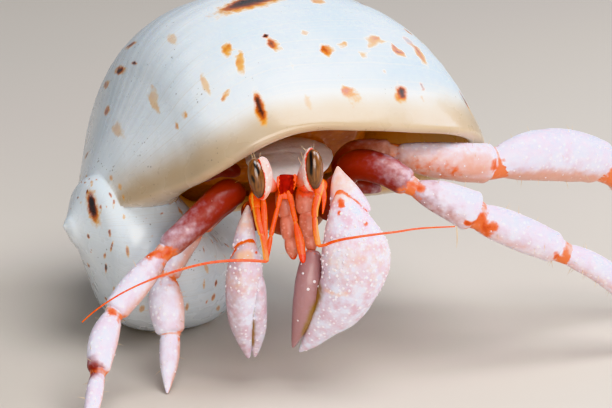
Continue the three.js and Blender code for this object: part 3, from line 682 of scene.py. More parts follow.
def shellMarkRows():
    s = shellMarks
    rows = list(s["placed"])
    draw = np.random.default_rng(s["seed"])
    turn = s["firstRow"]
    while turn > s["lastRow"]:
        small = float(spiralSize(turn)) / shellShape["mouth"]
        for angle in np.arange(200.0, 520.0, s["angleGap"]):
            at = turn + draw.uniform(-2.5, 2.5)
            beside = angle + draw.uniform(-5, 5)
            length, width = draw.uniform(0.35, 1.2) * small, draw.uniform(0.16, 0.42) * small
            dark, keep, slant = draw.uniform(0.1, 1.0), draw.uniform(), draw.uniform(-20, 20)
            byHand = turn > s["placedBack"] and s["placedFrom"] < angle < s["placedTo"]
            clear = fromAxis(spiralPoint(at, beside)) > s["clearOfAxis"] * spiralSize(at)
            if keep < s["kept"] and clear and not byHand:
                rows.append([at, beside, length, width, dark, 0.55 + 0.45 * dark, slant])
        if draw.uniform() < 0.25 and -230 < turn < -70:  # now and then a broad smudge across the whorl
            rows.append([turn, draw.uniform(320, 380), 0.8 * small, 2.0 * small, 0.8, 0.8, 0])
        turn -= s["rowGap"]
    return rows


def markFields(form):
    points, outside = form["points"], form["fields"]["inside"] < 0.5
    mark, dark, fade = (np.zeros(len(points)) for _ in range(3))
    for turn, angle, length, width, tone, strength, slant in shellMarkRows():
        along = unit(spiralPoint(turn + 0.5, angle) - spiralPoint(turn - 0.5, angle))
        beside = unit(spiralPoint(turn, angle + 0.5) - spiralPoint(turn, angle - 0.5))
        away = points - spiralPoint(turn, angle)
        near = np.flatnonzero(outside & (np.abs(away).max(1) < 4 * max(length, width)))
        c, s = math.cos(math.radians(slant)), math.sin(math.radians(slant))
        a, b = away[near] @ along, away[near] @ beside
        a, b = (a * c + b * s) / length, (b * c - a * s) / width
        value = np.clip(1 - np.sqrt(a * a + b * b) / 2, 0, 1)
        better = value > mark[near]
        at = near[better]
        mark[at], fade[at] = value[better], strength
        heart = 0.1 + 0.9 * ramp(value[better], 0.5, 0.85)  # yellow at the edge, darkest in the middle
        dark[at] = np.clip(tone * (0.95 - 0.45 * np.clip(a[better], -1, 1)) * heart, 0, 1)
    form["fields"].update({"mark": mark, "markDark": dark, "markFade": fade})


# Each value becomes the mean of itself and its neighbours along the edges, several times over.
def blurred(form, values, rounds):
    pairs = np.array([(f[i - 1], f[i]) for f in form["faces"] for i in range(len(f))])
    a, b = np.concatenate([pairs, pairs[:, ::-1]]).T
    count = np.bincount(a, minlength=len(values)) + 1
    for _ in range(rounds):
        values = (values + np.bincount(a, values[b], len(values))) / count
    return values


def buildShell():
    s = shellShape
    ends = np.arange(s["spireEnd"], s["start"], -s["spirePart"])
    spire = [whorlForm(max(end - s["spirePart"] - s["lap"], s["start"]), end) for end in ends]
    form = combined([lastWhorl()] + spire)
    fields, points = form["fields"], form["points"]
    backMm = -np.radians(fields["turn"]) * fromAxis(points)
    outside = (1 - fields["inside"]) * ramp(fields["turn"], -110, -60)
    fields["cream"] = blurred(form, outside * np.clip(1 - backMm / s["creamMm"], 0, 0.95), 14)
    # Tan as painted shade on the whorl's lower side, and a tan band at the lip that is partly its colour and
    # partly painted shade.
    shadedLowSide = ramp(np.cos(np.radians(fields.pop("angle") - 262)), 0.45, 1.0)
    tan = np.maximum(0.35 * shadedLowSide * (1 - backMm / s["lowShadeMm"]), 0.9 * ramp(backMm, s["lipTanMm"], 0))
    fields["tan"] = blurred(form, outside * np.clip(tan, 0, 0.9), 25)
    fields["depth"] = np.clip(backMm / s["deepMm"], 0, 1)
    markFields(form)
    soft = np.stack([blurred(form, axis, 40) for axis in points.T], -1)  # the worn tip
    worn = ramp(np.linalg.norm(points - shellTip, axis=1), 2.6, 1.5)[:, None]
    form["points"] = points * (1 - worn) + soft * worn
    form["points"][:, 2] = np.maximum(form["points"][:, 2], 0)  # the worn flat that it rests on
    return form


shellForm = buildShell()
makePiece("shell", shellForm, porcelainMaterial(), ["shell"], crease=50)
print("shell:", len(shellForm["points"]), "points")


# The soft body: trunk and coiled hind body under one skin, with the hard shield on its back.
body = {
    "thorax": [[0.45, 3.35, 10.9, 1.7, 1.35], [0.3, 5.2, 10.6, 2.3, 1.9], [0.2, 7.4, 10.7, 2.5, 2.05],
               [0.3, 9.6, 11.3, 2.2, 1.7]],
    "shield": [[0.1, 2.4, 12.75, 0.55, 0.18], [0.15, 4.2, 13.1, 2.15, 0.38], [0.2, 6.6, 13.5, 2.75, 0.42],
               [0.2, 9.2, 13.8, 2.3, 0.36]],
    "hindStart": -18.0, "hindEnd": -228.0, "hindFill": 0.76, "hindLeast": 0.24, "voxelMm": 0.16,
    "relaxRounds": 3, "foldDegrees": 15.0}


def hindBody(steps=90, sides=56):
    turn = np.linspace(body["hindStart"], body["hindEnd"], steps)
    t = (turn - body["hindStart"]) / (body["hindEnd"] - body["hindStart"])
    fill = body["hindFill"] * np.minimum(1, 0.42 + 3.2 * t) * np.sqrt(1 - 0.85 * t ** 3)
    fill = fill * (1 - 0.035 * np.cos(np.radians(turn) * 360 / body["foldDegrees"]) ** 2)  # cross folds
    grid = np.meshgrid(turn, np.arange(sides) * 360 / sides, indexing="ij")
    return tube(spiralPoint(*grid, fill[:, None] * (1 - 1e-6), body["hindLeast"]))


# One voxel skin over the trunk, the neck and the hind body, then smoothed.
def buildBody():
    start = spiralPoint(body["hindStart"] - 6, 0.0, 0.0)
    neck = limb([[0.3, 8.6, 11.0, 1.6, 1.3], [*((np.array([0.3, 9.9, 10.6]) + start) / 2), 1.7, 1.5],
                 [*start, 1.6, 1.6]], ends=4)
    forms = [limb(body["thorax"], ends=4, sides=40), neck, hindBody()]
    whole = joined(forms)
    working = workingObject(toMesh("working", whole["points"], whole["faces"]))
    skin = working.modifiers.new("skin", "REMESH")
    skin.mode, skin.voxel_size = "VOXEL", body["voxelMm"]
    relax = working.modifiers.new("relax", "SMOOTH")
    relax.iterations, relax.factor = body["relaxRounds"], 0.5
    form = toForm(applied(working), forms)
    form["fields"] = {"deep": ramp(form["points"][:, 1], 5.0, 3.4) * 0.85}
    return form


# Cervical groove and side furrows of the shield, pressed into its upper side.
def shieldShape(t, angle, points):
    x, y = points[..., 0] - 0.2, points[..., 1]
    groove = hump(y, 6.3 - 0.35 * np.abs(x) + 0.1 * x * x, 0.2) * (np.abs(x) < 2.1)
    side = hump(np.abs(x), 1.45 + 0.12 * (y - 5), 0.16) * ramp(y, 6.4, 7.2)
    upper = ramp(np.sin(np.radians(angle)), 0.0, 0.5)
    return 1 - upper * (0.08 * groove + 0.06 * side) + 0.015 * uneven(points, 1.0, 14)


makePiece("bodySkin", buildBody(), finish["softBodySkin"], ["thorax", "abdomen"])
shieldForm = limb(body["shield"], ends=4, sides=96, steps=70, shape=shieldShape, fields={
    "blush": lambda t, a, p: 0.6 * hump(np.abs(p[..., 0] - 0.2), 1.2, 0.5) * hump(p[..., 1], 5.3, 1.2),
    # painted shade: the shield darker towards its front
    "tinge": lambda t, a, p: 0.25 * ramp(p[..., 1], 4.6, 3.2)})
makePiece("shield", shieldForm, finish["shieldCuticle"], ["shield"])


# Eyes: upright oval corneas held in flat cups at the end of their stalks.
eyes = {
    "half": (0.54, 0.62, 1.25), "gap": 0.02, "rimMm": 0.06, "facetMm": 0.06, "fibreMm": (0.1, 0.9),
    # Cornea colours; the darker one for its lower part is painted shade.
    "glass": "#583418", "amber": "#885426", "streak": "#0c0706", "bottom": "#3a2416",
    "Right": {"centre": (-1.68, -0.3, 14.05), "lean": 10.0, "foot": [-0.55, 2.5, 12.55],
              "plate": (0.82, 0.6),
              "streaks": [([(-0.42, 0.2), (-0.3, 0.05)], 0.14), ([(0.1, 0.78), (0.34, 0.42)], 0.17)]},
    "Left": {"centre": (1.76, -0.3, 14.62), "lean": 3.0, "foot": [0.72, 2.5, 12.75], "plate": (0.88, 0.5),
             "streaks": [([(-0.3, 0.8), (-0.28, 0.4), (-0.36, 0.0)], 0.2)]}}


# x and z turned by a lean in degrees.
def leaned(points, degrees):
    c, s = math.cos(math.radians(degrees)), math.sin(math.radians(degrees))
    x, y, z = np.moveaxis(points, -1, 0)
    return np.stack([x * c - z * s, y, z * c + x * s], -1)


# Places in the round cornea's own measure, 1 being its surface.
def inCornea(points, eye):
    return leaned(points - np.array(eye["centre"]), -eye["lean"]) / np.array(eyes["half"])


def corneaForm(eye, spare=0.0, sides=72, steps=56):
    turns = np.arange(sides) * 2 * math.pi / sides
    rise, turn = np.meshgrid(np.linspace(0, math.pi, steps + 1), turns, indexing="ij")
    local = np.stack([np.sin(rise) * np.cos(turn), np.sin(rise) * np.sin(turn), np.cos(rise)], -1)
    places = leaned(local * (np.array(eyes["half"]) + spare), eye["lean"]) + np.array(eye["centre"])
    return tube(places[1:-1], None, (places[0, 0], places[-1, 0]))


# Dark see-into spots, drawn on the front and, as smaller ones, on the outer side and behind.
def corneaFields(form, eye, outer):
    x, y, z = inCornea(form["points"], eye).T
    spots = lambda sideways, rows: spotField(np.stack([sideways, z], -1), rows)
    streak = spots(x, eye["streaks"]) * (y < 0)
    beside = spots(y, [([(0.25, 0.5), (0.3, -0.3)], 0.17)]) * (x * outer > 0)
    behind = spots(x, [([(0.1 * outer, 0.45), (0.15 * outer, -0.25)], 0.16)]) * (y >= 0)
    form["fields"] = {"streak": np.maximum(streak, np.maximum(beside, behind)), "eyeHeight": z}
    return form


def corneaMaterial():
    material, add, place = startMaterial("corneaGlass")  # horny, clear and glossy over brown pigment
    scale = (perMm / eyes["fibreMm"][0], perMm / eyes["fibreMm"][0], perMm / eyes["fibreMm"][1])
    long = add("ShaderNodeMapping", {"Vector": place, "Scale": scale})
    fibre = add("ShaderNodeTexNoise", {"Vector": long, "Scale": 1.0, "Detail": 3.0})
    share = add("ShaderNodeMapRange", {"Value": fibre, "From Min": 0.35, "From Max": 0.68})
    height = add("ShaderNodeAttribute", attribute_name="eyeHeight")
    # the cornea's lower part painted darker as shade
    low = add("ShaderNodeMapRange", {"Value": height.outputs["Fac"], "From Min": -0.45, "From Max": -1.0})
    streak = add("ShaderNodeAttribute", attribute_name="streak")
    soft = add("ShaderNodeMath", {0: fibre, 1: 0.35, 2: streak.outputs["Fac"]}, operation="MULTIPLY_ADD")
    dark = add("ShaderNodeMapRange", {
        "Value": soft, "From Min": 0.42, "From Max": 1.0}, interpolation_type="SMOOTHSTEP")
    colour = eyes["glass"]
    for mask, over in ((share, "amber"), (low, "bottom"), (dark, "streak")):
        colour = add("ShaderNodeMix", {0: mask, 1: colour, 2: eyes[over]}, data_type="RGBA")
    facets = add("ShaderNodeTexVoronoi", {"Vector": place, "Scale": perMm / eyes["facetMm"]})
    bump = add("ShaderNodeBump", {
        "Height": facets.outputs["Distance"], "Strength": 0.12, "Distance": 0.000008}, invert=True)
    skin = add("ShaderNodeBsdfPrincipled", {
        "Base Color": colour, "Roughness": 0.3, "IOR": 1.5, "Normal": bump, "Coat Weight": 0.8,
        "Coat Roughness": 0.12, "Coat IOR": 1.5})
    add("ShaderNodeOutputMaterial", {"Surface": skin})
    return material


def eyestalkForm(eye):
    x, y, z = eye["centre"]
    inward, wide = eye["plate"]
    stalk = limb([[*eye["foot"], 0.3, 0.4], [x * 0.68, y + 1.6, z - 0.72, wide * 0.6, 0.7],
                  [x * (inward - 0.03), y + 0.85, z - 0.24, wide * 0.85, 1.12],
                  [x * inward, y + 0.1, z - 0.05, wide + 0.05, 1.34], [x * inward, y - 0.34, z, wide, 1.24]],
                 ends=(3, 3.6), sides=72, steps=60, shape=lambda t, a, p: 1 + 0.02 * uneven(p, 0.6, 4))
    stalk = combined([stalk, corneaForm(eye, eyes["gap"])], "DIFFERENCE")
    local, depth = inCornea(stalk["points"], eye), stalk["points"][:, 1] - y
    reach = (np.linalg.norm(local, axis=1) - 1) * 0.6
    stalk["fields"] = {
        "joint": np.clip(1 - np.abs(reach) / (2 * eyes["rimMm"]), 0, 1) * ramp(depth, 1.2, 0.6),
        "blush": ramp(local[:, 2], -0.35, -1.1) * 0.9,
        "deep": ramp(depth, 1.2, 2.6) * 0.8,
        "hairs": ramp(local[:, 2], 0.75, 0.95) * ramp(depth, 0.9, 0.3)}
    return stalk


corneaFinish = corneaMaterial()
hairyPieces = {"limb": [], "mouth": [], "antennule": [], "eyestalk": []}
for side, outer in (("Right", -1), ("Left", 1)):
    eye, node = eyes[side], side.lower()
    cornea = corneaFields(corneaForm(eye), eye, outer)
    makePiece("cornea" + side, cornea, corneaFinish, ["cornea_" + node])
    hairyPieces["eyestalk"].append(makePiece("eyestalk" + side, eyestalkForm(eye), finish["eyestalkCuticle"],
                                             ["eyestalk_" + node], crease=35))
print("body and eyes done")


# The face between the eyes: two pointed scales, with the antennules and antennae below.
face = {
    "scales": [[[-0.42, 2.25, 13.42, 0.1, 0.09], [-0.34, 1.95, 13.0, 0.17, 0.1],
                [-0.2, 1.62, 12.35, 0.13, 0.1]],
               [[0.6, 2.25, 13.55, 0.1, 0.09], [0.5, 1.95, 13.1, 0.17, 0.1], [0.28, 1.62, 12.4, 0.13, 0.1]],
               [[0.09, 2.4, 13.5, 0.52, 0.12], [0.08, 2.15, 13.1, 0.46, 0.14],
                [0.05, 1.8, 12.45, 0.3, 0.13], [0.03, 1.7, 12.15, 0.22, 0.12]]],
    "antennuleRight": [[[-0.22, 1.85, 12.6, 0.16], [-0.36, 1.6, 12.1, 0.15], [-0.46, 1.42, 11.7, 0.14]],
                       [[-0.44, 1.45, 11.78, 0.13], [-0.66, 1.15, 10.95, 0.14], [-0.88, 0.86, 10.05, 0.15]],
                       [[-0.86, 0.88, 10.1, 0.13], [-1.0, 0.7, 9.4, 0.15, 0.12], [-1.12, 0.5, 8.5, 0.06]]],
    "antennuleLeft": [[[0.2, 1.8, 12.65, 0.17], [0.32, 1.55, 12.2, 0.16], [0.42, 1.3, 11.8, 0.15]],
                      [[0.4, 1.32, 11.88, 0.14], [0.52, 1.08, 11.4, 0.15], [0.64, 0.88, 10.95, 0.15]],
                      [[0.6, 0.88, 11.02, 0.14], [0.88, 0.42, 9.95, 0.26, 0.13],
                       [1.05, 0.08, 8.88, 0.2, 0.12], [1.09, 0.0, 8.62, 0.1, 0.08]]],
    "antennaRight": [[[-1.82, 2.3, 12.3, 0.34, 0.3], [-1.86, 1.5, 12.2, 0.36, 0.3],
                      [-1.75, 0.9, 11.75, 0.26, 0.24]],
                     [[-1.34, 1.15, 12.45, 0.18, 0.15], [-1.27, 0.7, 11.5, 0.19, 0.15],
                      [-1.2, 0.3, 10.5, 0.14, 0.12], [-1.12, 0.1, 9.75, 0.05]],
                     [[-1.78, 0.95, 11.9, 0.25, 0.23], [-1.62, 0.35, 11.1, 0.21, 0.2],
                      [-1.42, -0.15, 10.4, 0.18]],
                     [[-1.42, -0.1, 10.5, 0.19, 0.18], [-1.27, -0.4, 9.9, 0.17, 0.16],
                      [-1.15, -0.72, 9.15, 0.17, 0.16], [-1.13, -0.82, 8.95, 0.14]]],
    "antennaLeft": [[[2.22, 2.2, 13.1, 0.32, 0.3], [2.2, 1.5, 13.05, 0.36, 0.3],
                     [2.02, 0.85, 12.6, 0.26, 0.24]],
                    [[2.32, 1.15, 13.0, 0.15, 0.14], [2.36, 0.8, 12.4, 0.14, 0.12],
                     [2.26, 0.4, 11.6, 0.04]],
                    [[2.02, 0.9, 12.65, 0.25, 0.24], [1.82, 0.35, 12.05, 0.22, 0.21],
                     [1.78, 0.0, 11.5, 0.19, 0.18]],
                    [[1.78, 0.05, 11.6, 0.18, 0.17], [1.82, -0.4, 11.0, 0.17, 0.16],
                     [1.95, -0.8, 10.25, 0.17, 0.16], [2.04, -0.92, 9.98, 0.14]]],
    "whipRight": [[-1.12, -0.86, 9.0], [-1.5, -0.98, 9.06], [-2.41, -1.1, 9.15], [-4.21, -1.4, 9.14],
                  [-5.7, -1.6, 8.89], [-8.09, -2.0, 8.2], [-9.89, -2.3, 7.4], [-11.41, -2.3, 6.35],
                  [-12.21, -2.2, 5.6]],
    "whipLeft": [[2.02, -0.95, 10.0], [2.4, -1.1, 10.12], [2.85, -1.4, 10.4], [3.59, -1.8, 10.72],
                 [5.38, -1.8, 11.0], [6.6, -1.0, 10.9], [8.15, 0.2, 10.75], [10.3, 1.0, 10.62]],
    # Heights and sideways places of the painted highlight line on each antenna base.
    "paleLineRight": ([8.95, 10.4, 11.1, 12.2], [-1.22, -1.52, -1.78, -2.0]),
    "paleLineLeft": ([9.98, 11.0, 12.05, 13.1], [2.1, 1.93, 1.95, 2.3]),
    "whipHalf": 0.085, "whipTip": 0.42, "ringMm": 0.2}


# A jointed part: short segments, each flared a little at its far end.
def jointed(segments, joint, flare=0.12, ends=5.0):
    shape = lambda t, a, p: 1 + flare * hump(t, 0.92, 0.08) - 0.12 * hump(t, 0.03, 0.05)
    make = partial(limb, up=(0, 1, 0), ends=ends, sides=24, steps=20, shape=shape, fields={"joint": joint})
    return combined([make(s) for s in segments])


feelerJoint = lambda t, a, p: 0.75 * np.maximum(hump(t, 0.0, 0.07), hump(t, 1.0, 0.05))
for side in ("Right", "Left"):
    node = side.lower()
    antennule = jointed(face["antennule" + side], feelerJoint, flare=0.1)
    z = antennule["points"][:, 2]
    antennule["fields"].update({"stain": 0.8 * ramp(z, 9.9, 8.7), "hairs": ramp(z, 10.2, 9.4)})
    hairyPieces["antennule"].append(makePiece(
        "antennule" + side, antennule, finish["feelerCuticle"],
        ["antennule_peduncle_" + node, "antennule_flagellum_" + node], crease=40))
    antenna = jointed(face["antenna" + side], feelerJoint)
    x, y, z = antenna["points"].T
    foot = z.min()
    edge = np.interp(z, *face["paleLine" + side])  # a painted highlight line runs down one side of the base
    antenna["fields"].update({
        "blush": np.maximum(0.55 * ramp(z, foot + 2.2, foot + 0.3), hump(x, edge, 0.07)),
        "stain": 0.7 * ramp(z, foot + 0.35, foot), "deep": ramp(y, 1.2, 2.2)})
    makePiece("antenna" + side, antenna, finish["feelerCuticle"],
              ["antenna_peduncle_" + node], crease=40)

whips = whipTree(finish["feelerCuticle"])
for side in ("Right", "Left"):
    line = bpy.data.curves.new("whipLine", "CURVE")
    line.dimensions = "3D"
    places = curveAt(face["whip" + side], np.linspace(0, 1, 160), 0.5)
    spline = line.splines.new("POLY")
    spline.points.add(len(places) - 1)
    for point, p in zip(spline.points, (places + underEyes) * metresPerMm):
        point.co = (*p, 1)
    mesh = runTree(line, whips, {"Half thickness": face["whipHalf"] * metresPerMm, "Tip": face["whipTip"],
                                 "Ring length": face["ringMm"] * metresPerMm})
    addToObject("antennaWhip" + side, mesh, finish["feelerCuticle"],
                ["antenna_flagellum_" + side.lower()])

scales = combined([limb(s, up=(0, -1, 0.3), ends=6, sides=28, steps=22) for s in face["scales"]])
x, y, z = scales["points"].T
scales["fields"]["joint"] = np.maximum(ramp(z, 12.7, 12.3) * 0.9, 0.8 * ramp(np.abs(x - 0.08), 0.3, 0.55))
makePiece("faceScales", scales, finish["faceCuticle"], ["ocular_plate"], crease=40)


# Third maxillipeds: pink jointed mouth-legs that hang between the antennae, fringed with hairs.
maxillipeds = {
    "Right": [[[-0.2, 3.0, 12.5, 0.5, 0.32], [-0.02, 2.6, 11.6, 0.6, 0.36], [0.1, 2.35, 10.75, 0.56, 0.34]],
              [[0.1, 2.35, 11.0, 0.48, 0.3], [0.22, 2.1, 10.2, 0.54, 0.34], [0.3, 1.92, 9.45, 0.46, 0.3]],
              [[0.3, 1.92, 9.7, 0.4, 0.27], [0.42, 1.75, 8.95, 0.42, 0.28], [0.52, 1.65, 8.3, 0.16, 0.14]]],
    "Left": [[[1.2, 3.0, 12.7, 0.55, 0.32], [1.26, 2.6, 11.8, 0.66, 0.36], [1.3, 2.3, 10.95, 0.6, 0.34]],
             [[1.3, 2.3, 11.2, 0.5, 0.3], [1.4, 2.05, 10.4, 0.56, 0.34], [1.48, 1.88, 9.6, 0.46, 0.3]],
             [[1.47, 1.9, 9.85, 0.38, 0.27], [1.56, 1.75, 9.25, 0.4, 0.28], [1.64, 1.65, 8.7, 0.16, 0.14]]]}
for side, segments in maxillipeds.items():
    form = jointed(segments, lambda t, a, p: 0.3 * hump(t, 0.98, 0.06), ends=4, flare=0.03)
    z = form["points"][:, 2]
    form["fields"].update({
        "deep": ramp(z, 11.4, 12.5) * 0.5, "hairs": ramp(z, 10.4, 9.2),
        "stain": np.maximum(0.7 * ramp(z, z.min() + 0.8, z.min()), 0.8 * ramp(z, 11.7, 12.35))})
    hairyPieces["mouth"].append(makePiece(
        "maxilliped" + side, form, finish["mouthpartCuticle"],
        ["maxilliped_" + side.lower()], crease=40))
print("face done")


# Surface of a limb plate: flared rim at its far end, a waist at its near end, low lumps.
def plateShape(seed, crest=0.0, flare=0.06, waist=0.0, lump=0.022):
    def shape(t, angle, points):
        rim = 1 + flare * hump(t, 0.93, 0.05) - waist * hump(t, 0.04, 0.05)
        back = 1 + crest * np.maximum(np.sin(np.radians(angle)), 0) ** 5
        lumps = lump * uneven(points, 1.7, seed) + 0.4 * lump * uneven(points, 0.55, seed + 1)
        return rim * back * (1 + lumps)
    return shape


# The claws, hung before the mouth with their broad outer faces forward. The left one is larger.
claws = {
    "leftMerus": [[2.6, 4.6, 10.2, 0.75, 0.8], [2.95, 3.6, 12.0, 0.85], [3.3, 2.75, 13.2, 0.5, 0.55]],
    "leftCarpus": [[3.17, 1.95, 14.15, 0.2, 0.3], [3.3, 1.65, 13.5, 0.55, 0.62],
                   [3.6, 1.35, 12.6, 0.95, 0.85], [3.92, 1.15, 11.7, 1.2, 0.98],
                   [4.12, 1.0, 11.1, 1.3, 1.0]],
    "leftPalm": [[3.3, 0.85, 12.98, 0.6], [3.5, 0.55, 12.2, 1.1, 0.95], [3.8, 0.3, 11.1, 1.6, 1.2],
                 [4.08, 0.15, 10.0, 1.95, 1.38], [4.27, 0.12, 8.8, 2.12, 1.45],
                 [3.88, 0.3, 7.1, 1.84, 1.35], [3.18, 0.7, 5.6, 1.62, 1.1], [2.36, 1.15, 4.4, 1.18, 0.85],
                 [1.55, 1.6, 3.1, 0.7, 0.55], [0.85, 1.95, 2.2, 0.24, 0.22]],
    "leftDactyl": [[1.66, 1.35, 9.0, 0.6, 0.5], [1.58, 1.1, 8.2, 0.74, 0.64], [1.42, 0.85, 7.1, 0.82, 0.76],
                   [1.22, 0.85, 5.8, 0.78, 0.72], [0.9, 1.1, 4.3, 0.58, 0.56], [0.45, 1.6, 2.6, 0.22]],
    "rightMerus": [[-1.75, 4.0, 9.6, 0.6], [-2.1, 3.7, 10.7, 0.65], [-2.25, 3.2, 11.3, 0.45]],
    "rightCarpus": [[-2.3, 2.75, 11.45, 0.2, 0.26], [-2.36, 2.3, 10.75, 0.4, 0.46],
                    [-2.45, 1.95, 9.95, 0.6], [-2.5, 1.7, 9.2, 0.74, 0.72], [-2.52, 1.62, 8.9, 0.76, 0.74]],
    "rightPalm": [[-2.16, 1.4, 9.66, 0.66, 0.5], [-2.33, 1.2, 9.0, 0.9, 0.76], [-2.48, 1.1, 7.8, 1.12, 0.9],
                  [-2.6, 1.02, 6.5, 1.06, 0.86], [-2.66, 1.12, 5.2, 0.96, 0.74],
                  [-2.58, 1.45, 3.8, 0.8, 0.6], [-2.3, 2.0, 1.75, 0.3, 0.24]],
    "rightDactyl": [[-1.7, 1.0, 7.9, 0.22, 0.35], [-1.6, 1.0, 6.7, 0.42, 0.54],
                    [-1.62, 1.1, 5.1, 0.5, 0.54], [-1.7, 1.45, 3.6, 0.48, 0.46],
                    [-1.9, 1.85, 1.9, 0.24, 0.2]],
    "leftSpots": [([(3.2, -0.3, 12.85), (3.34, -0.3, 12.4)], 0.2), ([(3.22, -0.4, 11.98)], 0.14),
                  ([(4.87, -0.55, 11.3)], 0.15)],
    "rightSpots": [([(-3.37, 1.05, 8.6), (-3.27, 0.9, 9.0), (-3.12, 0.8, 9.3)], 0.1),
                   ([(-1.62, 0.7, 9.15)], 0.11)],
    "rightPeach": [([(-2.75, 0.3, 9.0), (-2.2, 0.3, 9.05)], 0.34)],
    "creamArc": [(2.3, -0.6, 7.0), (3.0, -1.0, 6.85), (3.8, -1.0, 6.95)],
    # Each claw's share of painted shade on the palm and on the dactyl; on the left dactyl it is partly its
    # own mauve.
    "leftTinge": (0.0, 0.9), "rightTinge": (0.5, 0.35), "forward": (0, 1, 0),
    "ends": {"Merus": (4.5, 3), "Carpus": (2.6, 5), "Palm": (2.9, 3), "leftPalm": (2.4, 3),
             "Dactyl": (4.5, 3)}}


def clawFields(part, side):
    around = lambda a: np.cos(np.radians(a))  # 1 on the outer side of the left claw
    outer = 1 if side == "left" else -1
    fade = lambda t: ramp(t, 0.95, 0.8)
    return {
        "Merus": {"deep": lambda t, a, p: 0.85 + 0 * t, "joint": lambda t, a, p: 0.62 * hump(t, 0.95, 0.06)},
        "Carpus": {
            "blush": lambda t, a, p: 0.55 * ramp(t, 0.85, 0.3),
            "pearls": lambda t, a, p: 0.5 * ramp(t, 0.3, 0.5) * ramp(t, 0.97, 0.85)},
        "Palm": {
            # painted shade on the fixed finger's side that faces the dactyl, in the gap between them
            "deep": lambda t, a, p: ramp(-outer * around(a), 0.55, 0.95) * ramp(t, 0.52, 0.66) * fade(t),
            "blush": lambda t, a, p: 0.6 * ramp(t, 0.2, 0.02) + 0.36 * hump(t, 0.42, 0.16),
            # painted shade on the palm, growing away from the side that is outer on the left claw
            "tinge": lambda t, a, p: claws[side + "Tinge"][0] * ramp(around(a), 0.8, -0.6),
            "pearls": lambda t, a, p: ramp(t, 0.06, 0.14) * (0.05 + 0.95 * ramp(t, 0.62, 0.45))},
        "Dactyl": {
            "joint": lambda t, a, p: 0.45 * hump(t, 0.03, 0.05),
            # painted shade over the dactyl, partly its own mauve on the left claw
            "tinge": lambda t, a, p: claws[side + "Tinge"][1] + 0 * t,
            # painted shade on the dactyl's side that faces the fixed finger, in the gap between them
            "deep": lambda t, a, p: ramp(outer * around(a), 0.0, 0.8) * ramp(t, 0.45, 0.65) * fade(t),
            "pearls": lambda t, a, p: 0.14 * ramp(t, 0.05, 0.15) * ramp(t, 0.95, 0.7)}}[part]


# Nearness of one form's points to another form, 1 at touch and 0.5 at the given distance in mm.
def nearForm(form, other, mm):
    return np.clip(1 - nearest(form["points"], other["points"])[1] / (2 * mm), 0, 1)


pearlPieces, seed = [], 30
for side in ("left", "right"):
    forms = {}
    for part in ("Merus", "Carpus", "Palm", "Dactyl"):
        node = side + part
        sides, steps = (110, 130) if node == "leftPalm" else (64, 70)
        ends = claws["ends"].get(node) or claws["ends"][part]
        forms[part] = limb(
            claws[node], up=claws["forward"], ends=ends, sides=sides, steps=steps,
            fields=clawFields(part, side), shape=plateShape(seed, flare=0.03, lump=0.018))
        seed += 1
    palm, carpus = forms["Palm"], forms["Carpus"]
    points = palm["points"]
    upper = points[:, 2] > points[:, 2].max() - 2.6
    palm["fields"]["joint"] = nearForm(palm, carpus, 0.13) * upper
    carpus["fields"]["joint"] = nearForm(carpus, palm, 0.06)
    palm["fields"]["stain"] = spotField(points, claws[side + "Spots"], onSkin=True)
    if side == "left":  # a short arc of larger pearls crosses the palm
        row = spotField(points, [(claws["creamArc"], 0.16)], onSkin=True)
        raiseField(palm, "pearls", ramp(row, 0.3, 0.6))
        raiseField(palm, "blush", 0.5 * ramp(row, 0.2, 0.7))
    else:
        raiseField(palm, "blush", spotField(points, claws["rightPeach"], onSkin=True))
    for part, form in forms.items():
        slot, look = ("limb_cuticle", "limbCuticle") if part == "Merus" else ("claw_cuticle", "clawCuticle")
        piece = makePiece(side + "Claw" + part, form, finish[look], [f"{side}_claw_{part.lower()}"])
        if part != "Merus":
            pearlPieces.append(piece)
print("claws done")


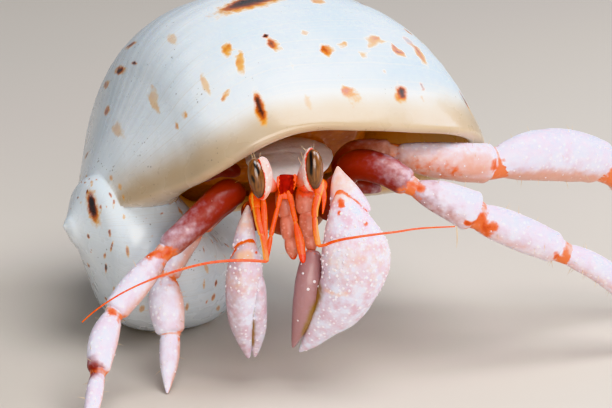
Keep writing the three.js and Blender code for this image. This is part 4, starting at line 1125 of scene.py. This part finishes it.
# Walking legs, each from the trunk to the floor, with tight skin at the joints.
legs = {
    "legTwoRight": {"node": "leg_2_right", "up": (-0.5, -0.2, 0.8), "seed": 41, "deepMm": 9.4, "under": 0.7,
        "spots": {"stain": [([(-8.25, 1.0, 8.67), (-7.36, 1.4, 8.8)], 0.34), ([(-10.51, -1.6, 5.93)], 0.3)],
                  "deep": [([(-11.44, -4.6, 3.26)], 0.7)]},
        "merus": [[-2.85, 5.3, 11.3, 0.8], [-3.6, 4.1, 11.7, 0.95], [-5.4, 2.8, 10.4, 0.85],
                  [-7.35, 1.7, 8.9, 0.72, 0.77]],
        "carpus": [[-7.55, 1.55, 8.65, 0.62], [-9.0, 0.3, 7.2, 0.84, 0.87],
                   [-10.35, -0.95, 5.8, 0.76, 0.8]],
        "propodus": [[-10.45, -1.1, 5.6, 0.62, 0.66], [-10.95, -2.7, 4.4, 0.87, 0.9],
                     [-11.15, -4.35, 3.2, 0.66]],
        "dactyl": [[-11.15, -4.5, 3.1, 0.52], [-11.35, -6.6, 1.95, 0.48], [-11.68, -8.8, 0.1, 0.13, 0.16]]},
    "legThreeRight": {"node": "leg_3_right", "up": (-0.6, 0.1, 0.8), "seed": 51, "deepMm": 3.6,
                      "under": 0.7, "spots": {},
        "merus": [[-3.1, 7.9, 10.4, 0.8], [-4.2, 7.3, 10.2, 0.95], [-5.55, 6.25, 9.05, 0.85]],
        "carpus": [[-5.7, 6.15, 8.8, 0.72], [-6.8, 5.3, 7.7, 0.95], [-7.55, 4.45, 6.45, 0.92]],
        "propodus": [[-7.6, 4.3, 6.15, 0.8], [-7.4, 3.5, 4.6, 1.12, 1.08], [-7.15, 2.65, 3.1, 0.86]],
        "dactyl": [[-7.15, 2.55, 2.95, 0.7], [-7.2, 1.5, 1.6, 0.58], [-7.28, 0.3, 0.08, 0.14, 0.16]]},
    "legTwoLeft": {"node": "leg_2_left", "up": (0.3, 0, 1), "seed": 61, "deepMm": 8.6, "under": 0.45,
        "spots": {"stain": [([(7.83, 3.6, 12.41), (8.3, 3.7, 12.2)], 0.3),
                            ([(11.2, 3.8, 9.9), (11.77, 4.0, 9.84)], 0.22),
                            ([(12.16, 4.4, 10.1), (12.57, 4.6, 9.1)], 0.36),
                            ([(12.5, 4.5, 9.6), (12.95, 4.6, 9.5)], 0.3), ([(16.9, 5.6, 7.31)], 0.26)],
                  "deep": [([(8.6, 3.7, 12.0)], 0.6, 0.5)]},
        "merus": [[3.2, 6.0, 11.6, 0.85], [4.25, 5.6, 13.1, 0.95], [6.0, 4.9, 13.05, 0.95],
                  [7.65, 4.25, 12.3, 0.82]],
        "carpus": [[7.9, 4.2, 12.1, 0.55, 0.58], [9.9, 4.5, 11.25, 0.98, 1.08],
                   [11.7, 4.97, 10.25, 1.16, 1.28]],
        "propodus": [[11.95, 5.03, 10.0, 0.9, 1.0], [14.5, 5.7, 8.75, 1.02, 1.1],
                     [17.1, 6.43, 7.4, 0.88, 0.95]],
        "dactyl": [[17.3, 6.5, 7.25, 0.76, 0.8], [20.0, 7.1, 5.7, 0.76, 0.8], [22.1, 7.7, 3.4, 0.55, 0.6],
                   [23.3, 8.05, 0.1, 0.13, 0.15]]},
    "legThreeLeft": {"node": "leg_3_left", "up": (0.15, -0.4, 1), "seed": 71, "deepMm": 5.2, "under": 1.0,
        "spots": {"blush": [([(7.6, 7.0, 12.6), (12.2, 7.2, 12.3)], 1.1, 0.9),
                            ([(4.3, 7.4, 13.6), (6.6, 7.1, 13.8)], 1.1, 0.9)],
                  "stain": [([(13.2, 7.9, 12.6), (13.3, 7.9, 12.2)], 0.3),
                            ([(8.0, 7.0, 12.6), (10.6, 7.0, 12.4)], 0.7, 0.52)]},
        "merus": [[3.2, 8.4, 11.6, 0.85], [4.3, 8.3, 12.9, 1.0], [6.65, 8.0, 13.2, 0.92]],
        "carpus": [[6.9, 7.9, 13.15, 0.82], [9.9, 8.0, 12.75, 1.1, 1.2], [13.0, 8.95, 12.25, 1.12, 1.34]],
        "propodus": [[13.2, 9.1, 12.25, 0.95, 1.15], [15.4, 10.3, 12.4, 1.3, 1.7],
                     [18.2, 12.1, 11.85, 1.3, 1.8], [20.6, 13.55, 10.9, 1.0, 1.4]],
        "dactyl": [[20.8, 13.7, 10.7, 0.9, 1.05], [22.9, 14.8, 8.2, 0.85, 0.95],
                   [24.1, 15.4, 5.0, 0.65, 0.75], [24.6, 15.7, 2.2, 0.4, 0.44],
                   [24.78, 15.79, 0.1, 0.13, 0.15]]}}
# For each plate: how red its near and far ends are, and its share of bristles and of pearls.
segmentLooks = {"merus": (0.0, 0.6, 0.1, 0.0), "carpus": (0.62, 0.45, 0.35, 1.0),
                "propodus": (0.7, 0.5, 0.5, 1.0), "dactyl": (0.55, 0.0, 1.0, 1.0)}
segmentNames = list(segmentLooks)
tuckShare = 0.75  # how far a plate's near end slips inside the one before, as a share of its half width


def segmentFields(leg, name, stations):
    length = np.linalg.norm(np.diff(stations[:, :3], axis=0), axis=1).sum()
    root = np.array(leg["merus"][0][:3])
    low = lambda a: ramp(-np.sin(np.radians(a)), -0.4, 0.65)
    nearEnd, farEnd, hairs, pearls = segmentLooks[name]

    def joint(t, a, p):
        near = nearEnd * hump(t * length, 0.5, 0.7) * (0.62 + 0.5 * low(a))
        far = farEnd * hump((1 - t) * length, 0.1, 0.4) * (0.5 + 0.6 * low(a))
        return np.maximum(near, far) + 0.08 * uneven(p, 1.2, leg["seed"])

    return {
        "joint": joint,
        # salmon lower side: partly the legs' own colour, partly painted shade
        "blush": lambda t, a, p: leg["under"] * low(a) * ramp(t, 0.02, 0.15),
        # red towards the body: partly the legs' own colour, partly painted shade inside the shell
        "deep": lambda t, a, p: 1.15 - np.linalg.norm(p - root, axis=-1) / leg["deepMm"],
        "pearls": lambda t, a, p: ramp(t, 0.08, 0.16) * ramp(t, 0.96, 0.85) * pearls,
        "hairs": lambda t, a, p: hairs + 0 * t}


# Tight skin that joins two plates: a short body from inside one to inside the next.
def jointSkin(before, after, slim=0.8):
    ends = [curveAt(before, np.array([0.84, 0.93]), 0.5), curveAt(after, np.array([0.07, 0.16]), 0.5)]
    lower = lambda a: ramp(-np.sin(np.radians(a)), -0.5, 0.3)
    return limb(np.vstack(ends) * [1, 1, 1, slim, slim], up=(0, 0.2, 1), ends=6, sides=28, steps=16, fields={
        "joint": lambda t, a, p: 0.42 + 0.4 * lower(a) + 0.12 * uneven(p, 0.8, 9),
        "blush": lambda t, a, p: 0.8 + 0 * t})


def buildLeg(leg):
    forms, plates = [], [stationRows(leg[name]) for name in segmentNames]
    for i, name in enumerate(segmentNames):
        stations = plates[i].copy()
        if i:
            stations[0, :3] -= unit(stations[1, :3] - stations[0, :3]) * stations[0, 3] * tuckShare
        forms.append(limb(stations, up=leg["up"], ends=(3.4, 3) if name == "dactyl" else (3, 7), sides=52,
                          steps=64, shape=plateShape(leg["seed"] + i, crest=0.04, waist=0.12),
                          fields=segmentFields(leg, name, stations)))
    form = combined(forms + [jointSkin(*pair) for pair in zip(plates[:-1], plates[1:])])
    for field, spots in leg["spots"].items():
        raiseField(form, field, spotField(form["points"], spots, onSkin=True))
    form["points"][:, 2] = np.maximum(form["points"][:, 2], 0)  # the claw tip's small flat on the floor
    return form


for name, leg in legs.items():
    nodes = [f"{leg['node']}_{segment}" for segment in segmentNames]
    hairyPieces["limb"].append(
        makePiece(name, buildLeg(leg), finish["limbCuticle"], nodes, crease=38))

fourthLegs = {
    "Right": [[-2.9, 10.0, 11.4, 0.5], [-4.2, 10.2, 11.6, 0.55], [-5.4, 9.9, 10.9, 0.3]],
    "Left": [[3.3, 10.4, 10.9, 0.5], [4.7, 10.3, 10.5, 0.55], [6.1, 10.5, 10.1, 0.3]]}
for side, stations in fourthLegs.items():
    form = limb(stations, sides=40, steps=40, shape=plateShape(81, crest=0.05, waist=0.12), fields={
        "deep": lambda t, a, p: 1 - 0.4 * t, "hairs": lambda t, a, p: ramp(t, 0.5, 0.9)})
    makePiece("fourthLeg" + side, form, finish["limbCuticle"], ["leg_4_" + side.lower()])
print("legs done")


# Pearls on the claws and legs, and bristles on the legs, mouth and eye tops.
def plainMaterial(name, colours, roughness, glow):
    material, add, place = startMaterial(name)
    cloud = add("ShaderNodeTexNoise", {"Vector": place, "Scale": 900.0, "Detail": 2.0})
    shade = add("ShaderNodeMix", {0: cloud, 1: colours[0], 2: colours[1]}, data_type="RGBA")
    skin = add("ShaderNodeBsdfPrincipled", {
        "Base Color": shade, "Roughness": roughness, "IOR": 1.5, "Subsurface Weight": glow,
        "Subsurface Radius": (1.0, 0.7, 0.5), "Subsurface Scale": 0.0003})
    add("ShaderNodeOutputMaterial", {"Surface": skin})
    return material


# Pearls: size and gap in mm. Bristles: how many on a square metre, length and half thickness in mm.
# The single ones stand on a leg and by the eyes: foot x, tip x and how much higher they start.
covering = {
    "pearl": (0.085, 0.3), "legShare": 0.62,
    "limb": (1.2e6, 0.45, 0.018), "mouth": (6e6, 0.4, 0.01), "antennule": (8e6, 0.25, 0.007),
    "eyestalk": (6e6, 0.5, 0.015),
    "byLeg": [[10.55, 3.8, 9.85, 0.03], [10.6, 3.68, 9.1, 0.028], [10.58, 3.72, 8.35, 0.012]],
    "byEyes": [(-1.86, -2.06, 0.0), (-1.76, -1.88, 0.06), (-1.5, -1.44, -0.06), (1.14, 0.94, 0.0),
               (1.04, 0.78, -0.35)]}
pearlFinish = plainMaterial("pearlGranule", ("#fffafc", "#f3e2ea"), 0.3, 0.3)  # hard and glassy-white
bristleFinish = plainMaterial("paleHorn", ("#efd9b8", "#c79a62"), 0.4, 0.2)  # stiff yellowish bristles
standing = [covering["byLeg"]] + [
    [[foot, -0.25, 15.2 + lift, 0.017], [(foot + tip) / 2 - 0.03, -0.3, 15.5 + lift, 0.013],
     [tip, -0.33, 15.78 + lift, 0.005]] for foot, tip, lift in covering["byEyes"]]
standing = joined([limb(hair, up=(0, 1, 0), sides=8, steps=10) for hair in standing])
makePiece("singleBristles", standing, bristleFinish)
pearls, bristles = pearlTree(pearlFinish), bristleTree(bristleFinish)
pearlSize, pearlGap = (mm * metresPerMm for mm in covering["pearl"])
for i, piece in enumerate(pearlPieces + hairyPieces["limb"]):
    slot, small = ("claw_cuticle", 1.0) if piece in pearlPieces else ("limb_cuticle", covering["legShare"])
    sizes = {"Gap": pearlGap / small ** 2, "Size": pearlSize * small, "Seed": 5 + i}
    addToObject(piece.name + "Pearls", runTree(piece.data, pearls, sizes), pearlFinish)
hairy = [(piece, covering[kind]) for kind, pieces in hairyPieces.items() for piece in pieces]
for i, (piece, (dense, length, thick)) in enumerate(hairy):
    sizes = {"Density": dense, "Length": length * metresPerMm, "Half thickness": thick * metresPerMm,
             "Seed": 11 + i}
    addToObject(piece.name + "Bristles", runTree(piece.data, bristles, sizes), bristleFinish)
print("pearls and bristles done")


# Stage: a plain pale matt floor and broad soft studio lights.
stage = {"floorHalf": 0.6, "floorColour": "#c6beb5", "world": "#eef2f8", "worldStrength": 0.34}
matt, add, place = startMaterial("paleMattFloor")
cloud = add("ShaderNodeTexNoise", {"Vector": place, "Scale": 30.0, "Detail": 3.0})
tone = add("ShaderNodeMapRange", {"Value": cloud, "To Min": 0.5, "To Max": 0.62})
skin = add("ShaderNodeBsdfPrincipled", {"Base Color": stage["floorColour"], "Roughness": tone})
add("ShaderNodeOutputMaterial", {"Surface": skin})
half = stage["floorHalf"]
corners = [(-half, -half, 0), (half, -half, 0), (half, half, 0), (-half, half, 0)]
floorMesh = toMesh("floor", corners, [(0, 1, 2, 3)])
floorMesh.materials.append(matt)
floor = bpy.data.objects.new("floor", floorMesh)
scene.collection.objects.link(floor)

world = bpy.data.worlds.new("paleRoom")
scene.world = world
world.use_nodes = True
world.node_tree.nodes.clear()
sky = addNode(world.node_tree, "ShaderNodeBackground", {
    "Color": stage["world"], "Strength": stage["worldStrength"]})
addNode(world.node_tree, "ShaderNodeOutputWorld", {"Surface": sky})

# Soft boxes: place and aim in metres, size in metres, power in watts, colour.
softBoxes = {
    "keyLight": ((0.07, -0.06, 0.22), (0, 0, 0.008), 0.18, 0.5, "#ffffff"),
    "frontFill": ((0.05, -0.29, 0.07), (0.005, -0.01, 0.01), 0.2, 0.58, "#fff8f0"),
    "sideLight": ((0.2, 0.02, 0.12), (0.01, 0, 0.01), 0.14, 0.3, "#eef4ff")}
for name, (place, aim, size, power, colour) in softBoxes.items():
    lamp = bpy.data.lights.new(name, "AREA")
    lamp.shape, lamp.size, lamp.energy = "DISK", size, power
    lamp.color = hexColour(colour)[:3]
    light = bpy.data.objects.new(name, lamp)
    light.location = place
    light.rotation_euler = (Vector(aim) - Vector(place)).to_track_quat("-Z", "Y").to_euler()
    scene.collection.objects.link(light)

print("hermit crab: finished")
